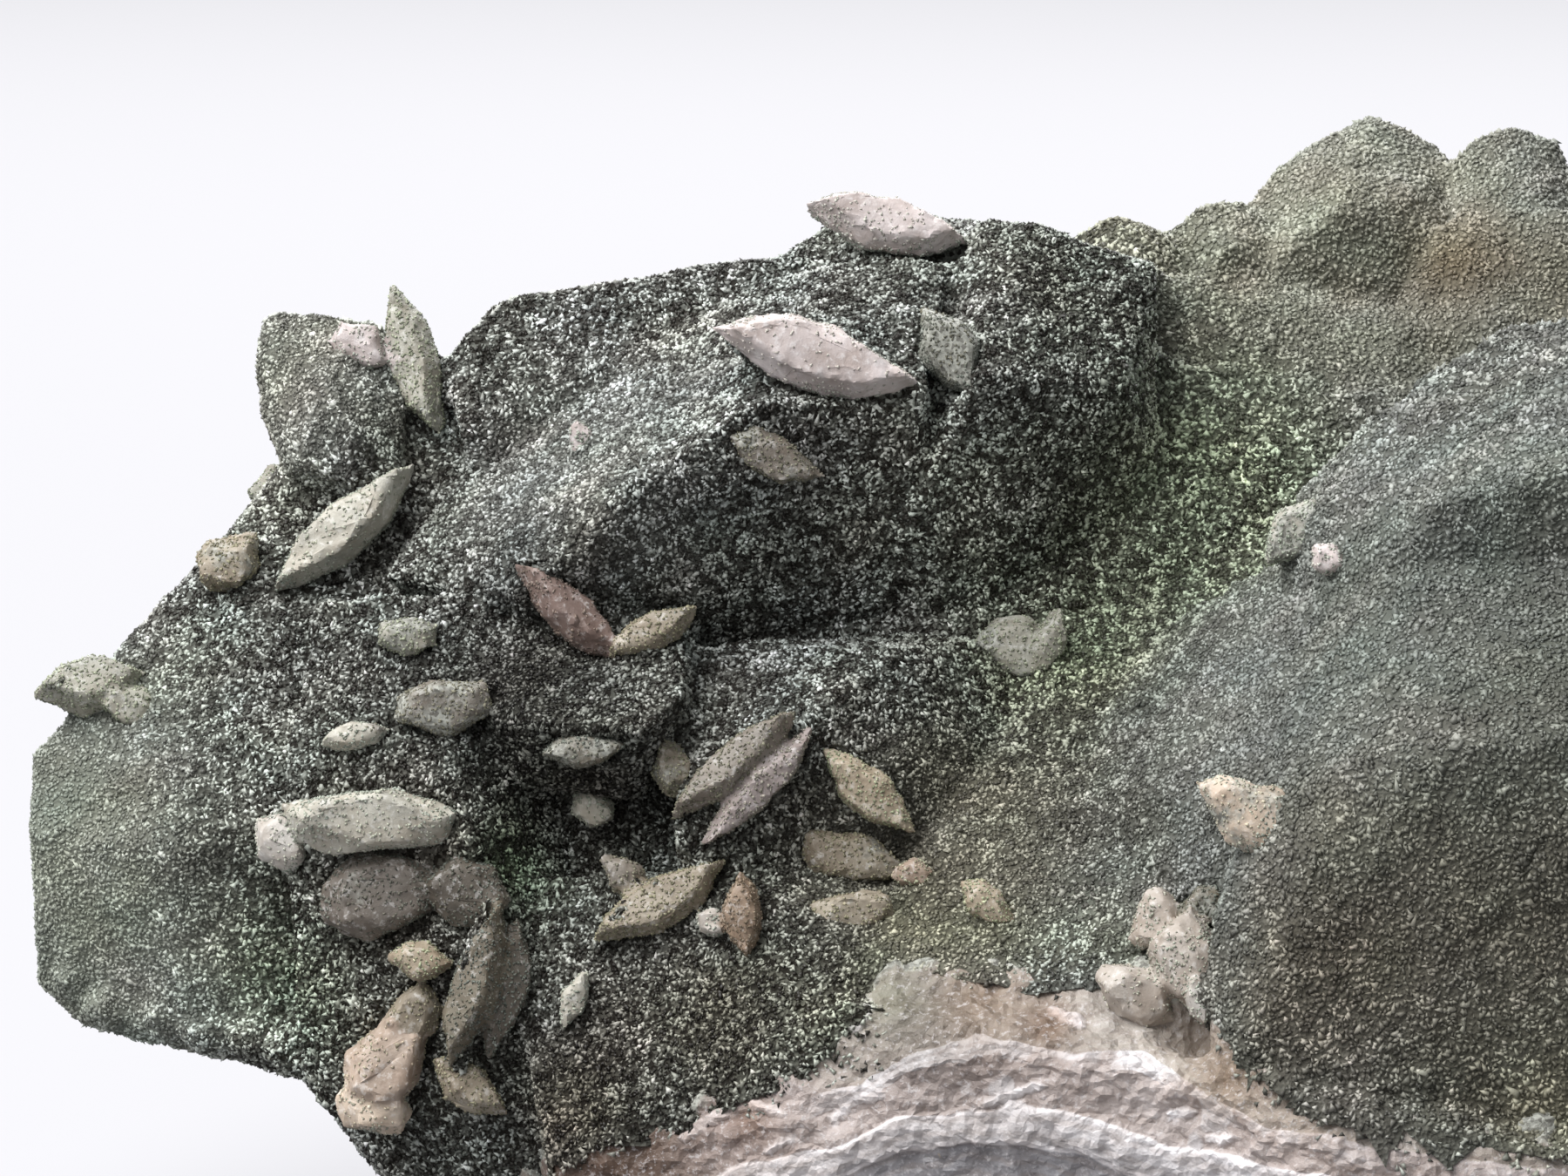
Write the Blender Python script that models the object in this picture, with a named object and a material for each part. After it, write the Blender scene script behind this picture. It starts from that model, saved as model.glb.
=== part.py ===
"""Chlorite coated quartz: a cluster of quartz crystals grown together on its matrix, cut flat below.

The places of the forms are given as the front view shows them, which looks along +Y and slightly down:
across from the left end and up from the foot as they look at deep 0, and deep, away from the viewer, all
in millimetres.
"""

import math
import random

import bmesh
import bpy
from mathutils import Matrix, Vector
from mathutils.bvhtree import BVHTree

MM = 0.001
VIEW_TILT = math.radians(10.0)
EYE_DISTANCE = 260.0
EYE_ACROSS = 22.5
EYE_UP = 20.6

ACROSS = Vector((1.0, 0.0, 0.0))
UP = Vector((0.0, math.sin(VIEW_TILT), math.cos(VIEW_TILT)))
DEEP = Vector((0.0, math.cos(VIEW_TILT), -math.sin(VIEW_TILT)))

# The middle of the foot, which is the part's origin
FOOT_MIDDLE = Vector((29.65, 11.57, -0.87))

# Corners of the big crystals and of the matrix between them: across, up, deep
FORMS = {
    "left end": [
        (3.5, 18.75, 6.0), (0.9, 15.75, 5.5), (5.4, 15.75, 2.4), (0.9, 13.5, 4.2), (5.0, 13.0, 1.6),
        (1.1, 9.25, 5.5), (2.5, 8.0, 5.5), (5.4, 8.0, 3.8), (6.0, 21.25, 7.0), (7.5, 16.75, 2.6),
        (8.2, 19.75, 4.6), (8.2, 24.25, 8.0), (10.5, 15.0, 1.8), (9.5, 6.25, 4.2), (15.0, 20.0, 6.0),
        (15.0, 7.5, 6.0), (1.5, 15.0, 11.0), (1.5, 10.0, 10.0), (4.0, 18.5, 13.0), (8.25, 23.5, 15.0),
        (8.25, 8.75, 12.0), (15.0, 22.5, 16.0), (15.0, 8.75, 15.0),
    ],
    "front left": [
        (8.9, 20.2, 3.0), (10.75, 20.5, 2.4), (14.0, 20.5, 2.4), (11.0, 16.25, 0.2), (8.0, 14.6, 0.6),
        (13.0, 15.5, -0.5), (13.5, 13.5, -0.7), (12.5, 5.25, 0.9), (8.7, 6.3, 2.2), (15.0, 7.5, -0.2),
        (17.5, 10.0, 3.0), (17.5, 19.0, 5.0), (14.0, 3.75, 1.5), (12.5, 12.5, 10.0), (16.25, 3.75, 8.0),
        (16.5, -2.0, 3.0), (18.0, -4.0, 12.0), (15.2, 1.2, 3.0),
    ],
    "terrace crystal": [
        (11.0, 20.9, 4.2), (12.75, 23.1, 5.8), (21.0, 29.0, 7.2), (15.0, 20.25, 1.2), (16.0, 21.2, 0.5),
        (18.1, 23.5, 0.3), (21.5, 25.8, 0.6), (26.5, 26.1, 2.2), (27.25, 30.0, 6.5), (24.5, 30.2, 7.2),
        (16.0, 19.0, 3.4), (20.0, 19.0, 4.6), (26.25, 19.2, 6.6), (14.0, 25.0, 14.0), (27.5, 30.0, 15.0),
        (27.5, 20.0, 14.0), (15.0, 17.5, 12.0),
    ],
    "upper back": [
        (13.25, 25.3, 6.4), (12.9, 27.4, 7.6), (14.1, 28.8, 8.0), (17.2, 29.1, 8.0), (17.8, 28.9, 8.2),
        (20.0, 29.8, 8.4), (23.2, 30.4, 8.8), (21.0, 28.0, 7.0), (13.0, 26.7, 16.0), (23.5, 30.0, 17.0),
        (23.0, 20.0, 17.0), (14.0, 20.0, 16.0), (14.0, 22.0, 6.5),
    ],
    "top block": [
        (22.8, 30.5, 9.0), (24.0, 31.1, 10.0), (26.5, 31.3, 10.0), (27.9, 31.0, 9.4), (28.1, 29.3, 7.2),
        (23.5, 29.4, 7.6), (26.0, 30.1, 6.8), (23.2, 30.0, 15.0), (28.0, 30.8, 15.0), (25.0, 22.0, 12.0),
    ],
    "right crystal": [
        (27.7, 30.8, 7.6), (28.4, 31.2, 8.0), (29.9, 31.1, 7.6), (30.05, 30.3, 7.0), (33.1, 29.9, 8.0),
        (33.25, 23.3, 8.6), (31.25, 21.0, 8.2), (28.75, 19.5, 6.8), (26.5, 19.2, 6.4), (25.8, 22.0, 4.0),
        (28.0, 26.7, 2.6), (28.3, 28.5, 4.4), (32.2, 26.5, 5.0), (33.2, 29.5, 16.0), (33.2, 22.5, 16.0),
        (27.5, 30.5, 16.0), (27.0, 15.0, 14.0),
    ],
    "brow": [
        (12.75, 20.0, 3.0), (16.0, 20.5, 3.4), (19.5, 19.5, 2.0), (12.6, 17.6, 1.0), (15.5, 16.7, -1.4),
        (18.5, 16.5, -1.7), (19.7, 17.5, -0.8), (15.0, 14.9, 0.6), (18.0, 14.6, 0.8), (20.0, 15.0, 6.0),
        (14.0, 15.0, 6.0), (20.0, 20.0, 7.0), (14.0, 20.0, 7.0),
    ],
    "ridge": [
        (19.3, 13.2, -1.6), (23.25, 17.0, -0.5), (25.75, 18.75, 1.8), (20.0, 19.0, 3.0), (26.25, 19.1, 4.8),
        (28.75, 19.3, 6.2), (28.25, 14.6, 1.6), (29.5, 18.3, 5.7), (25.0, 12.0, 0.8), (20.0, 12.0, 0.5),
        (20.0, 12.0, 8.0), (30.0, 12.0, 8.0),
    ],
    "lower slope": [
        (15.0, 12.2, 1.2), (20.75, 12.5, -0.9), (25.0, 12.3, 0.2), (15.2, 6.5, -1.0), (16.0, 4.3, -1.8),
        (22.5, 8.0, -3.3), (25.0, 10.0, -2.6), (28.0, 9.0, -3.2), (17.0, -4.0, 0.0), (30.0, -4.0, 0.0),
        (30.0, 12.0, 6.0), (15.0, 12.0, 8.0), (17.0, -4.0, 12.0),
    ],
    "valley": [
        (30.0, 19.2, 6.6), (33.2, 23.0, 9.4), (36.25, 22.4, 9.6), (41.0, 24.0, 10.0), (22.5, 8.0, -3.1),
        (25.0, 10.0, -2.5), (32.5, 8.0, -5.2), (36.0, 11.0, -3.8), (28.25, 15.0, 1.0), (41.0, 15.0, 0.0),
        (32.5, -4.0, -3.4), (22.0, -4.0, -1.0), (28.0, 20.0, 14.0), (41.0, 23.0, 16.0), (41.0, -4.0, -3.0),
        (24.0, -4.0, 14.0), (41.0, -4.0, 16.0),
    ],
    "saddle": [
        (32.0, 18.6, 5.2), (36.5, 21.4, 2.6), (38.6, 20.7, -1.6), (32.6, 13.0, -1.2), (36.9, 14.4, -6.0),
        (34.9, 11.4, -4.6), (30.2, 14.6, 1.2), (36.6, 17.8, -2.6), (38.0, 10.0, 6.0), (31.0, 10.0, 6.0),
    ],
    "back slope": [
        (33.0, 29.3, 12.0), (36.5, 30.1, 15.5), (40.5, 29.2, 16.5), (46.0, 27.5, 15.5), (33.0, 22.6, 9.2),
        (38.0, 23.3, 9.0), (46.0, 22.5, 10.0), (33.0, 28.0, 20.0), (46.0, 27.0, 21.0), (33.0, 5.0, 20.0),
        (48.0, 5.0, 20.0), (50.0, 24.0, 14.0), (37.0, 26.8, 12.2), (41.0, 26.6, 12.4),
    ],
    "front right upper": [
        (36.6, 21.4, 1.5), (37.2, 23.4, 1.8), (38.8, 24.9, 2.0), (41.0, 26.9, 2.4), (43.25, 28.2, 2.6),
        (46.5, 28.7, 2.6), (38.6, 21.2, -2.3), (41.25, 23.0, -4.2), (45.0, 24.1, -5.4), (49.0, 24.0, -5.8),
        (51.0, 27.0, 3.0), (37.5, 15.0, -2.0), (50.0, 15.0, -5.0), (38.0, 18.0, 9.0), (51.0, 24.0, 11.0),
        (50.0, 8.0, 12.0), (40.0, 8.0, 8.0),
    ],
    "front right lower": [
        (34.9, 11.6, -5.2), (35.6, 13.2, -6.2), (37.2, 14.7, -7.6), (39.3, 15.8, -9.0), (41.8, 16.2, -9.9),
        (46.5, 16.3, -10.8), (38.3, 20.6, -2.2), (40.5, 21.0, -4.1), (45.0, 21.3, -5.0), (51.0, 20.5, -5.0),
        (34.5, 9.25, -6.6),
        (35.4, 7.0, -8.0), (38.75, 5.4, -8.6), (45.0, 4.6, -9.0), (52.0, 5.0, -8.0), (53.0, 15.0, -9.0),
        (37.0, 0.0, -5.0), (52.0, 0.0, -5.0), (38.0, 8.0, 6.0), (53.0, 8.0, 6.0), (52.0, -5.0, 6.0),
        (37.0, -5.0, 4.0),
    ],
    "knob crystal": [
        (8.2, 24.0, 8.0), (7.5, 25.75, 7.6), (7.3, 27.5, 7.6), (7.6, 28.3, 8.0), (8.1, 28.6, 8.4),
        (9.1, 28.3, 8.4), (10.9, 28.2, 8.4), (11.3, 27.4, 8.0), (11.6, 24.2, 6.2), (10.0, 23.7, 5.2),
        (9.2, 26.6, 5.8), (10.2, 25.0, 5.0), (8.6, 24.0, 5.8), (8.6, 27.6, 12.5), (11.6, 27.0, 12.5),
        (9.0, 22.0, 12.0), (12.0, 22.0, 12.0),
    ],
    "notch wall": [
        (10.6, 26.4, 8.4), (13.3, 26.8, 8.8), (13.6, 22.4, 6.6), (10.2, 22.6, 6.8), (10.8, 26.0, 14.0),
        (13.4, 26.0, 14.0), (10.6, 20.0, 13.0), (13.6, 20.0, 13.0),
    ],
    "back knob left": [
        (30.2, 29.6, 14.0), (30.8, 30.8, 14.4), (31.9, 31.2, 14.6), (33.1, 30.9, 14.6), (34.2, 30.0, 14.4),
        (33.4, 28.0, 12.4), (31.0, 28.0, 13.0), (31.0, 30.5, 20.0), (34.0, 30.5, 20.0), (32.5, 30.2, 12.8),
        (31.0, 22.0, 17.0), (34.0, 22.0, 17.0),
    ],
    "back knob middle": [
        (33.4, 30.6, 15.6), (34.6, 31.6, 16.0), (35.7, 31.7, 16.0), (36.7, 31.0, 15.8), (37.2, 29.2, 14.6),
        (34.0, 28.4, 13.2), (35.2, 30.4, 13.7), (34.0, 30.6, 22.0), (37.0, 30.4, 22.0), (34.0, 20.0, 18.0),
        (38.0, 20.0, 18.0),
    ],
    "back knob high": [
        (35.5, 31.2, 17.0), (36.7, 32.6, 17.6), (37.6, 33.4, 18.0), (39.4, 34.3, 18.6), (41.0, 33.5, 18.6),
        (41.6, 32.9, 18.2), (36.3, 29.9, 14.4), (38.3, 29.6, 14.2), (40.2, 29.1, 14.8), (41.4, 30.2, 15.4),
        (38.6, 31.7, 14.4), (40.4, 31.8, 15.4), (37.0, 31.5, 24.0), (41.5, 32.0, 24.0), (38.0, 24.0, 18.0),
        (42.0, 22.0, 20.0),
    ],
    "back knob right": [
        (41.3, 32.3, 17.4), (42.1, 33.6, 17.8), (43.3, 34.0, 18.0), (44.6, 33.4, 18.0), (45.3, 32.0, 17.2),
        (42.4, 31.2, 15.2), (44.2, 31.0, 15.2), (42.0, 29.2, 15.4), (44.8, 29.2, 15.4), (42.5, 32.0, 24.0),
        (45.0, 32.0, 24.0), (43.0, 24.0, 18.0), (46.0, 22.0, 20.0),
    ],
    "back shelf": [
        (40.2, 29.6, 15.2), (41.6, 31.4, 15.4), (45.0, 31.4, 15.2), (47.0, 28.4, 13.4), (43.0, 27.6, 12.4),
        (40.6, 28.0, 13.6), (48.0, 31.0, 18.0), (41.0, 24.0, 20.0), (50.0, 22.0, 20.0), (50.0, 20.0, 10.0),
    ],
    "heart": [
        (10.0, 8.0, 5.0), (9.0, 20.0, 9.0), (14.0, 24.0, 9.0), (30.0, 28.0, 10.0), (50.0, 24.0, 12.0),
        (15.0, 13.0, 2.4), (17.5, 14.5, 2.4), (17.5, -4.0, 1.0), (50.0, -4.0, -2.0), (12.0, 12.0, 16.0),
        (20.0, -4.0, 16.0), (50.0, -4.0, 18.0), (20.0, 24.0, 19.0), (48.0, 24.0, 21.0), (53.0, 10.0, 8.0),
    ],
    "rim middle": [
        (15.6, 3.6, -1.6), (20.0, 7.0, -2.8), (24.0, 8.8, -4.0), (27.5, 8.6, -4.9), (33.0, 7.8, -6.0),
        (35.5, 6.4, -7.2), (17.0, 2.0, -1.4), (22.0, 5.0, -3.9), (26.0, 6.6, -5.0), (32.0, 6.0, -6.2),
        (37.0, 4.0, -7.0), (22.0, -4.0, -2.0), (38.0, -4.0, -5.0), (30.0, 8.0, 4.0), (20.0, 0.0, 6.0),
        (38.0, 0.0, 6.0),
    ],
    "rim right": [
        (34.0, 7.6, -7.0), (37.0, 6.2, -8.8), (40.0, 5.4, -9.4), (45.0, 4.4, -9.8), (52.0, 4.0, -9.0),
        (36.0, 4.4, -8.2), (40.0, 3.4, -9.6), (46.0, 2.4, -10.0), (52.0, 2.0, -9.0), (38.0, -4.0, -6.0),
        (52.0, -4.0, -6.0), (36.0, 0.0, 0.0), (52.0, 0.0, 0.0),
    ],
}

# Six-sided crystals of the sides that the front view hides: foot, tip, radius, length of the point, turn
CRYSTALS = [
    ((22.0, 11.0, 12.0), (11.0, 17.0, 23.5), 4.6, 4.2, 10.0),
    ((26.0, 13.0, 14.0), (22.5, 22.5, 28.0), 4.4, 4.4, 32.0),
    ((34.0, 10.0, 14.0), (36.5, 21.0, 29.5), 4.8, 4.8, 5.0),
    ((40.0, 8.0, 14.0), (48.5, 18.0, 27.5), 4.6, 4.2, 48.0),
    ((29.0, 6.0, 14.0), (29.5, 9.0, 27.5), 3.8, 3.6, 20.0),
    ((17.0, 8.0, 10.0), (11.5, 9.0, 20.0), 3.8, 3.4, 25.0),
    ((44.0, 6.0, 12.0), (51.0, 8.0, 25.0), 3.8, 3.4, 12.0),
    ((45.0, 12.0, 0.0), (56.6, 18.5, -1.0), 4.8, 4.6, 15.0),
    ((45.0, 19.0, 9.0), (54.0, 28.0, 10.5), 4.4, 4.4, 40.0),
    ((47.0, 7.0, -3.0), (57.2, 8.5, -4.5), 4.4, 3.8, 28.0),
    ((47.0, 9.0, 10.0), (57.0, 14.0, 14.0), 4.4, 4.2, 3.0),
    ((46.0, 24.0, 14.0), (50.5, 33.0, 17.0), 3.2, 3.0, 22.0),
    ((46.5, 25.0, 3.0), (52.0, 30.5, -1.0), 3.0, 2.8, 35.0),
]
CRYSTAL_FLATNESS = 0.10
POINT_SKEW = 0.25

# Blades and lumps grown on the crystals: across, up, deep, length, width, thickness, then the turn of the
# length in the front view, its dip away from the viewer and the lean of the broad face, in degrees
BLADES = [
    (25.4, 31.0, 7.7, 5.2, 1.9, 1.5, -14, 4, -25), (23.4, 27.2, 2.2, 6.3, 2.3, 1.6, -16, 5, -22),
    (27.1, 27.5, 3.6, 2.3, 1.0, 0.9, -60, 0, 0), (11.95, 27.1, 7.6, 4.9, 1.4, 1.3, -73, -12, 20),
    (9.8, 22.2, 5.9, 5.8, 1.8, 1.7, 42, 0, -25), (16.7, 24.8, 4.1, 1.3, 0.7, 0.5, -75, 0, 0),
    (22.1, 24.45, 1.3, 3.0, 1.3, 0.9, -25, 4, 12), (16.5, 19.7, 1.8, 3.9, 1.1, 1.1, -42, 0, -30),
    (18.75, 19.25, 1.2, 3.1, 1.0, 1.0, 32, 6, -20), (10.2, 16.3, 0.3, 2.0, 0.75, 0.7, 12, 0, -20),
    (16.7, 15.95, -0.9, 2.4, 0.8, 0.5, 5, 0, 0), (21.05, 15.5, -1.3, 5.2, 1.1, 1.0, 40, 0, -25),
    (21.75, 14.9, -1.3, 5.0, 1.0, 1.0, 46, 0, 15), (24.9, 14.8, -0.1, 3.5, 1.25, 1.0, -43, 0, 12),
    (18.9, 11.6, -0.9, 4.7, 1.5, 1.2, 30, 0, -15), (18.05, 12.25, -0.5, 1.9, 0.9, 0.8, -40, 0, 10),
    (21.35, 11.2, -1.9, 2.5, 1.05, 0.9, -84, 0, 10), (20.4, 11.0, -1.5, 0.95, 0.6, 0.6, -30, 0, 0),
    (28.3, 11.6, -2.2, 2.0, 1.1, 1.0, -40, 0, 10), (30.1, 19.1, 4.9, 1.9, 0.9, 0.9, 70, 0, 20),
    (12.1, 9.9, -0.2, 1.9, 1.0, 1.0, -5, 0, 0), (13.7, 9.3, -0.9, 5.0, 1.3, 1.2, 80, 0, -20),
    (14.5, 9.1, -0.5, 4.2, 1.4, 0.8, 78, 0, 25), (13.45, 6.3, -0.1, 2.7, 1.2, 1.0, -38, 0, -20),
    (16.5, 8.8, -1.1, 1.8, 0.65, 0.7, 68, 0, 0), (37.1, 22.2, 0.9, 2.2, 1.5, 1.0, 50, 0, 0),
    (2.6, 17.8, 5.2, 3.4, 1.5, 1.6, 8, 6, -20), (34.4, 8.8, -6.0, 1.4, 0.6, 0.6, -80, 0, 0),
]
LUMPS = [
    (10.35, 27.5, 7.25, 1.9, 1.3, 0.9, -35, 0, 0), (6.5, 21.3, 5.9, 2.3, 1.7, 1.6, 35, 0, 0),
    (11.7, 19.2, 1.4, 1.9, 1.2, 0.9, 5, 0, 0), (12.75, 17.2, 0.2, 3.5, 1.7, 1.2, 10, 0, 0),
    (17.05, 14.25, 2.0, 1.5, 1.1, 1.2, -50, 0, 0), (19.3, 15.5, 0.8, 1.9, 1.1, 2.2, -70, 0, 0),
    (24.3, 12.9, 0.2, 3.4, 1.7, 1.1, -16, 0, 0), (24.5, 11.3, -1.2, 2.9, 1.4, 1.1, 8, 0, 0),
    (26.25, 12.4, -0.6, 1.2, 0.9, 0.8, 0, 0, 0), (29.2, 18.8, 5.2, 2.6, 2.0, 1.2, -20, 0, 0),
    (10.6, 13.95, -0.3, 5.5, 2.1, 2.0, -2, 0, 0), (8.1, 13.4, 1.2, 2.1, 1.6, 1.8, -60, 0, 0),
    (10.9, 11.8, 0.3, 4.2, 2.8, 1.5, 8, 0, 0), (13.4, 11.9, -0.3, 3.0, 2.0, 1.2, -30, 0, 0),
    (11.1, 6.95, 0.5, 3.8, 2.3, 2.4, 66, 0, 0), (11.8, 8.3, 0.2, 2.1, 1.4, 1.4, 50, 0, 0),
    (10.8, 5.8, 0.6, 2.4, 1.9, 2.0, -20, 0, 0), (33.2, 11.1, -3.9, 1.9, 1.3, 1.4, 60, 0, 0),
    (34.1, 9.9, -4.9, 3.0, 2.5, 2.4, -50, 0, 0), (32.6, 8.9, -4.7, 2.6, 1.7, 1.6, -30, 0, 0),
    (36.1, 14.0, -6.3, 4.0, 2.0, 1.2, -35, 0, 0), (38.1, 21.4, -1.6, 1.0, 0.9, 0.9, 0, 0, 0),
    (3.7, 17.2, 4.8, 2.0, 1.2, 1.4, -20, 0, 0), (27.6, 4.55, -4.95, 1.9, 0.9, 1.0, 0, 0, 0),
]

BLADE_OUTLINE = ((-1.0, 0.0), (-0.5, 0.8), (0.1, 1.0), (1.0, 0.1), (0.45, -0.85), (-0.2, -1.0))
FACE_LENGTH = 0.80
FACE_WIDTH = 0.70
LUMP_LEVELS = (-0.75, 0.0, 0.75)
LUMP_TURN = 0.7
LUMP_REACH = (0.82, 1.08)
LUMP_RISE = (0.85, 1.15)

# Ends of the small parallel crystals that step down the underside of the left end: across, up, deep
STEPS = [
    (1.7, 8.9, 5.2), (2.5, 8.1, 4.8), (4.2, 7.8, 4.4), (5.5, 7.35, 3.9), (6.6, 7.2, 3.5), (7.7, 6.8, 3.1),
    (8.6, 6.3, 2.9), (9.7, 6.15, 2.7), (3.3, 8.4, 8.0), (5.6, 7.6, 7.5), (8.0, 7.0, 7.0), (10.4, 5.9, 5.5),
]
STEP_REACH = (2.4, 2.6, 1.2)
STEP_RADIUS = 0.8
STEP_POINT = 0.25

# Top edges of the two pale ledges of the broken rim: across, up; then their height and their reach forward
LEDGES = [
    [
        (15.5, 1.0), (18.5, 2.6), (21.1, 3.8), (24.0, 4.7), (25.7, 5.4), (27.5, 5.75), (30.5, 5.6),
        (32.6, 4.9), (34.5, 4.35), (37.3, 3.75), (41.0, 3.0), (45.0, 2.5),
    ],
    [
        (26.0, 7.1), (28.1, 7.75), (29.8, 7.3), (32.75, 7.25), (33.7, 6.8), (34.8, 5.9), (36.3, 5.2),
        (38.5, 4.8),
    ],
]
LEDGE_HEIGHT = 0.9
LEDGE_REACH = 0.5
LEDGE_ROOT = 1.5
LEDGE_OVERLAP = 1.09

# Blades on the hidden sides: the way from the middle out to them as an angle from the right end round by
# the back and an angle above level, then length, width, thickness and turn on the surface
HIDDEN_BLADES = [
    (12, 22, 3.8, 1.4, 1.1, 20), (27, 6, 4.6, 1.7, 1.3, -35), (40, 33, 3.0, 1.2, 1.0, 70),
    (52, 14, 4.0, 1.5, 1.2, 10), (63, 36, 3.4, 1.3, 1.0, -60), (71, 10, 2.6, 1.2, 0.9, 45),
    (84, 26, 4.4, 1.6, 1.2, -15), (97, 12, 3.2, 1.2, 1.0, 80), (106, 34, 3.8, 1.5, 1.1, 30),
    (118, 20, 4.8, 1.7, 1.3, -40), (130, 9, 3.0, 1.1, 1.0, 15), (142, 33, 3.6, 1.4, 1.1, -70),
    (154, 14, 4.2, 1.5, 1.2, 55), (166, 27, 2.8, 1.2, 0.9, -10), (-6, 12, 3.2, 1.3, 1.0, 65),
    (-14, 28, 2.6, 1.1, 0.9, -25),
]
HIDDEN_LIFT = 0.13
MIDDLE = Vector((0.0, 0.0, 0.010))

SMALL_CRYSTALS = 46
SMALL_RADIUS = (0.8, 2.1)
SMALL_RISE = (0.6, 1.8)
SMALL_SHOULDER = (0.6, 1.0)
SMALL_ROOT = 4.0
SMALL_LEAN = 0.5
LOWEST_GROWTH = 0.004
STEEPEST_UNDERSIDE = -0.3
GROWTH_CORE = ((10.0, 48.0), (8.0, 26.0), (4.0, 12.0))
COVER_CHECK = 0.0022
FRAME_END = 46.5
OUTSIDE = 0.2
BLOCK = 0.2
SEED = 41


def clear_scene():
    for item in list(bpy.data.objects):
        bpy.data.objects.remove(item, do_unlink=True)


def place(across, up, deep):
    """A point of the front view in the part's own frame, in metres."""
    spread = 1.0 + deep / EYE_DISTANCE
    across = EYE_ACROSS + (across - EYE_ACROSS) * spread
    up = EYE_UP + (up - EYE_UP) * spread
    return (ACROSS * across + UP * up + DEEP * deep - FOOT_MIDDLE) * MM


def hull(name, corners):
    """A crystal or block with flat faces: the convex hull of corners given in the part's own frame."""
    bm = bmesh.new()
    for corner in corners:
        bm.verts.new(corner)
    made = bmesh.ops.convex_hull(bm, input=bm.verts)
    spare = [v for v in made["geom_interior"] if isinstance(v, bmesh.types.BMVert)]
    bmesh.ops.delete(bm, geom=spare, context="VERTS")
    bmesh.ops.recalc_face_normals(bm, faces=bm.faces)
    mesh = bpy.data.meshes.new(name)
    bm.to_mesh(mesh)
    bm.free()
    item = bpy.data.objects.new(name, mesh)
    bpy.context.scene.collection.objects.link(item)
    return item


def crystal(name, foot, tip, radius, point, turn):
    """A six-sided prism from its foot to its shoulder, closed by a six-sided point."""
    start = place(*foot)
    end = place(*tip)
    along = (end - start).normalized()
    side = along.orthogonal().normalized()
    corners = [end]
    for number in range(6):
        angle = math.radians(turn) + math.tau * number / 6
        reach = radius * MM * (1.0 + CRYSTAL_FLATNESS * math.sin(2.0 * angle))
        out = Matrix.Rotation(angle, 3, along) @ side * reach
        drop = point * MM * (1.0 + POINT_SKEW * math.cos(3.0 * angle))
        corners.append(start + out)
        corners.append(end + out - along * drop)
    return hull(name, corners)


def frame_of(turn, dip, lean):
    """The directions of a blade's length, width and thickness, from its angles in degrees."""
    turn = math.radians(turn)
    dip = math.radians(dip)
    along = (ACROSS * math.cos(turn) + UP * math.sin(turn)) * math.cos(dip) + DEEP * math.sin(dip)
    wide = (UP * math.cos(turn) - ACROSS * math.sin(turn)).normalized()
    thick = along.cross(wide)
    spin = Matrix.Rotation(math.radians(lean), 3, along)
    return along, spin @ wide, spin @ thick


def blade(middle, size, axes):
    """A flat blade with two pointed ends, bevelled from its broad faces to its edge."""
    length, width, thickness = (value * MM / 2.0 for value in size)
    along, wide, thick = axes
    corners = []
    for forward, sideways in BLADE_OUTLINE:
        corners.append(middle + along * forward * length + wide * sideways * width)
        for side in (-1.0, 1.0):
            face = middle + along * forward * length * FACE_LENGTH + wide * sideways * width * FACE_WIDTH
            corners.append(face + thick * side * thickness)
    return hull("blade", corners)


def lump(middle, size, axes, chance):
    """A rough lump with flat broken faces."""
    half = [value * MM / 2.0 for value in size]
    corners = []
    for level in LUMP_LEVELS:
        for number in range(6):
            angle = math.tau * (number + chance.random() * LUMP_TURN) / 6
            reach = math.sqrt(1.0 - level * level) * chance.uniform(*LUMP_REACH)
            corner = (math.cos(angle) * reach, math.sin(angle) * reach, level * chance.uniform(*LUMP_RISE))
            shift = [axis * part * value for axis, part, value in zip(axes, corner, half)]
            corners.append(middle + shift[0] + shift[1] + shift[2])
    return hull("lump", corners)


def surface_of(body):
    """The body's surface, ready to be met by rays."""
    return BVHTree.FromObject(body, bpy.context.evaluated_depsgraph_get())


def covered(surface, spot):
    """Whether the front view misses a spot because the body stands before it or the frame ends."""
    if spot.x > place(FRAME_END, 0.0, 0.0).x:
        return True
    eye = place(EYE_ACROSS, EYE_UP, -EYE_DISTANCE)
    return surface.ray_cast(spot, eye - spot)[0] is not None


def surface_hits(body, count, chance):
    """Places on the sides that the front view hides, each with the direction out of the surface."""
    surface = surface_of(body)
    found = []
    while len(found) < count:
        inner = place(*(chance.uniform(*limits) for limits in GROWTH_CORE))
        way = Vector([chance.gauss(0.0, 1.0) for _ in range(3)]).normalized()
        hit, normal, _, _ = surface.ray_cast(inner + way * OUTSIDE, -way)
        if hit is None or hit.z < LOWEST_GROWTH or normal.z < STEEPEST_UNDERSIDE:
            continue
        across = normal.orthogonal() * COVER_CHECK
        around = [normal * COVER_CHECK, across, -across, normal.cross(across), across.cross(normal)]
        if all(covered(surface, hit + normal * COVER_CHECK / 2.0 + shift) for shift in around):
            found.append((hit, normal))
    return found


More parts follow.
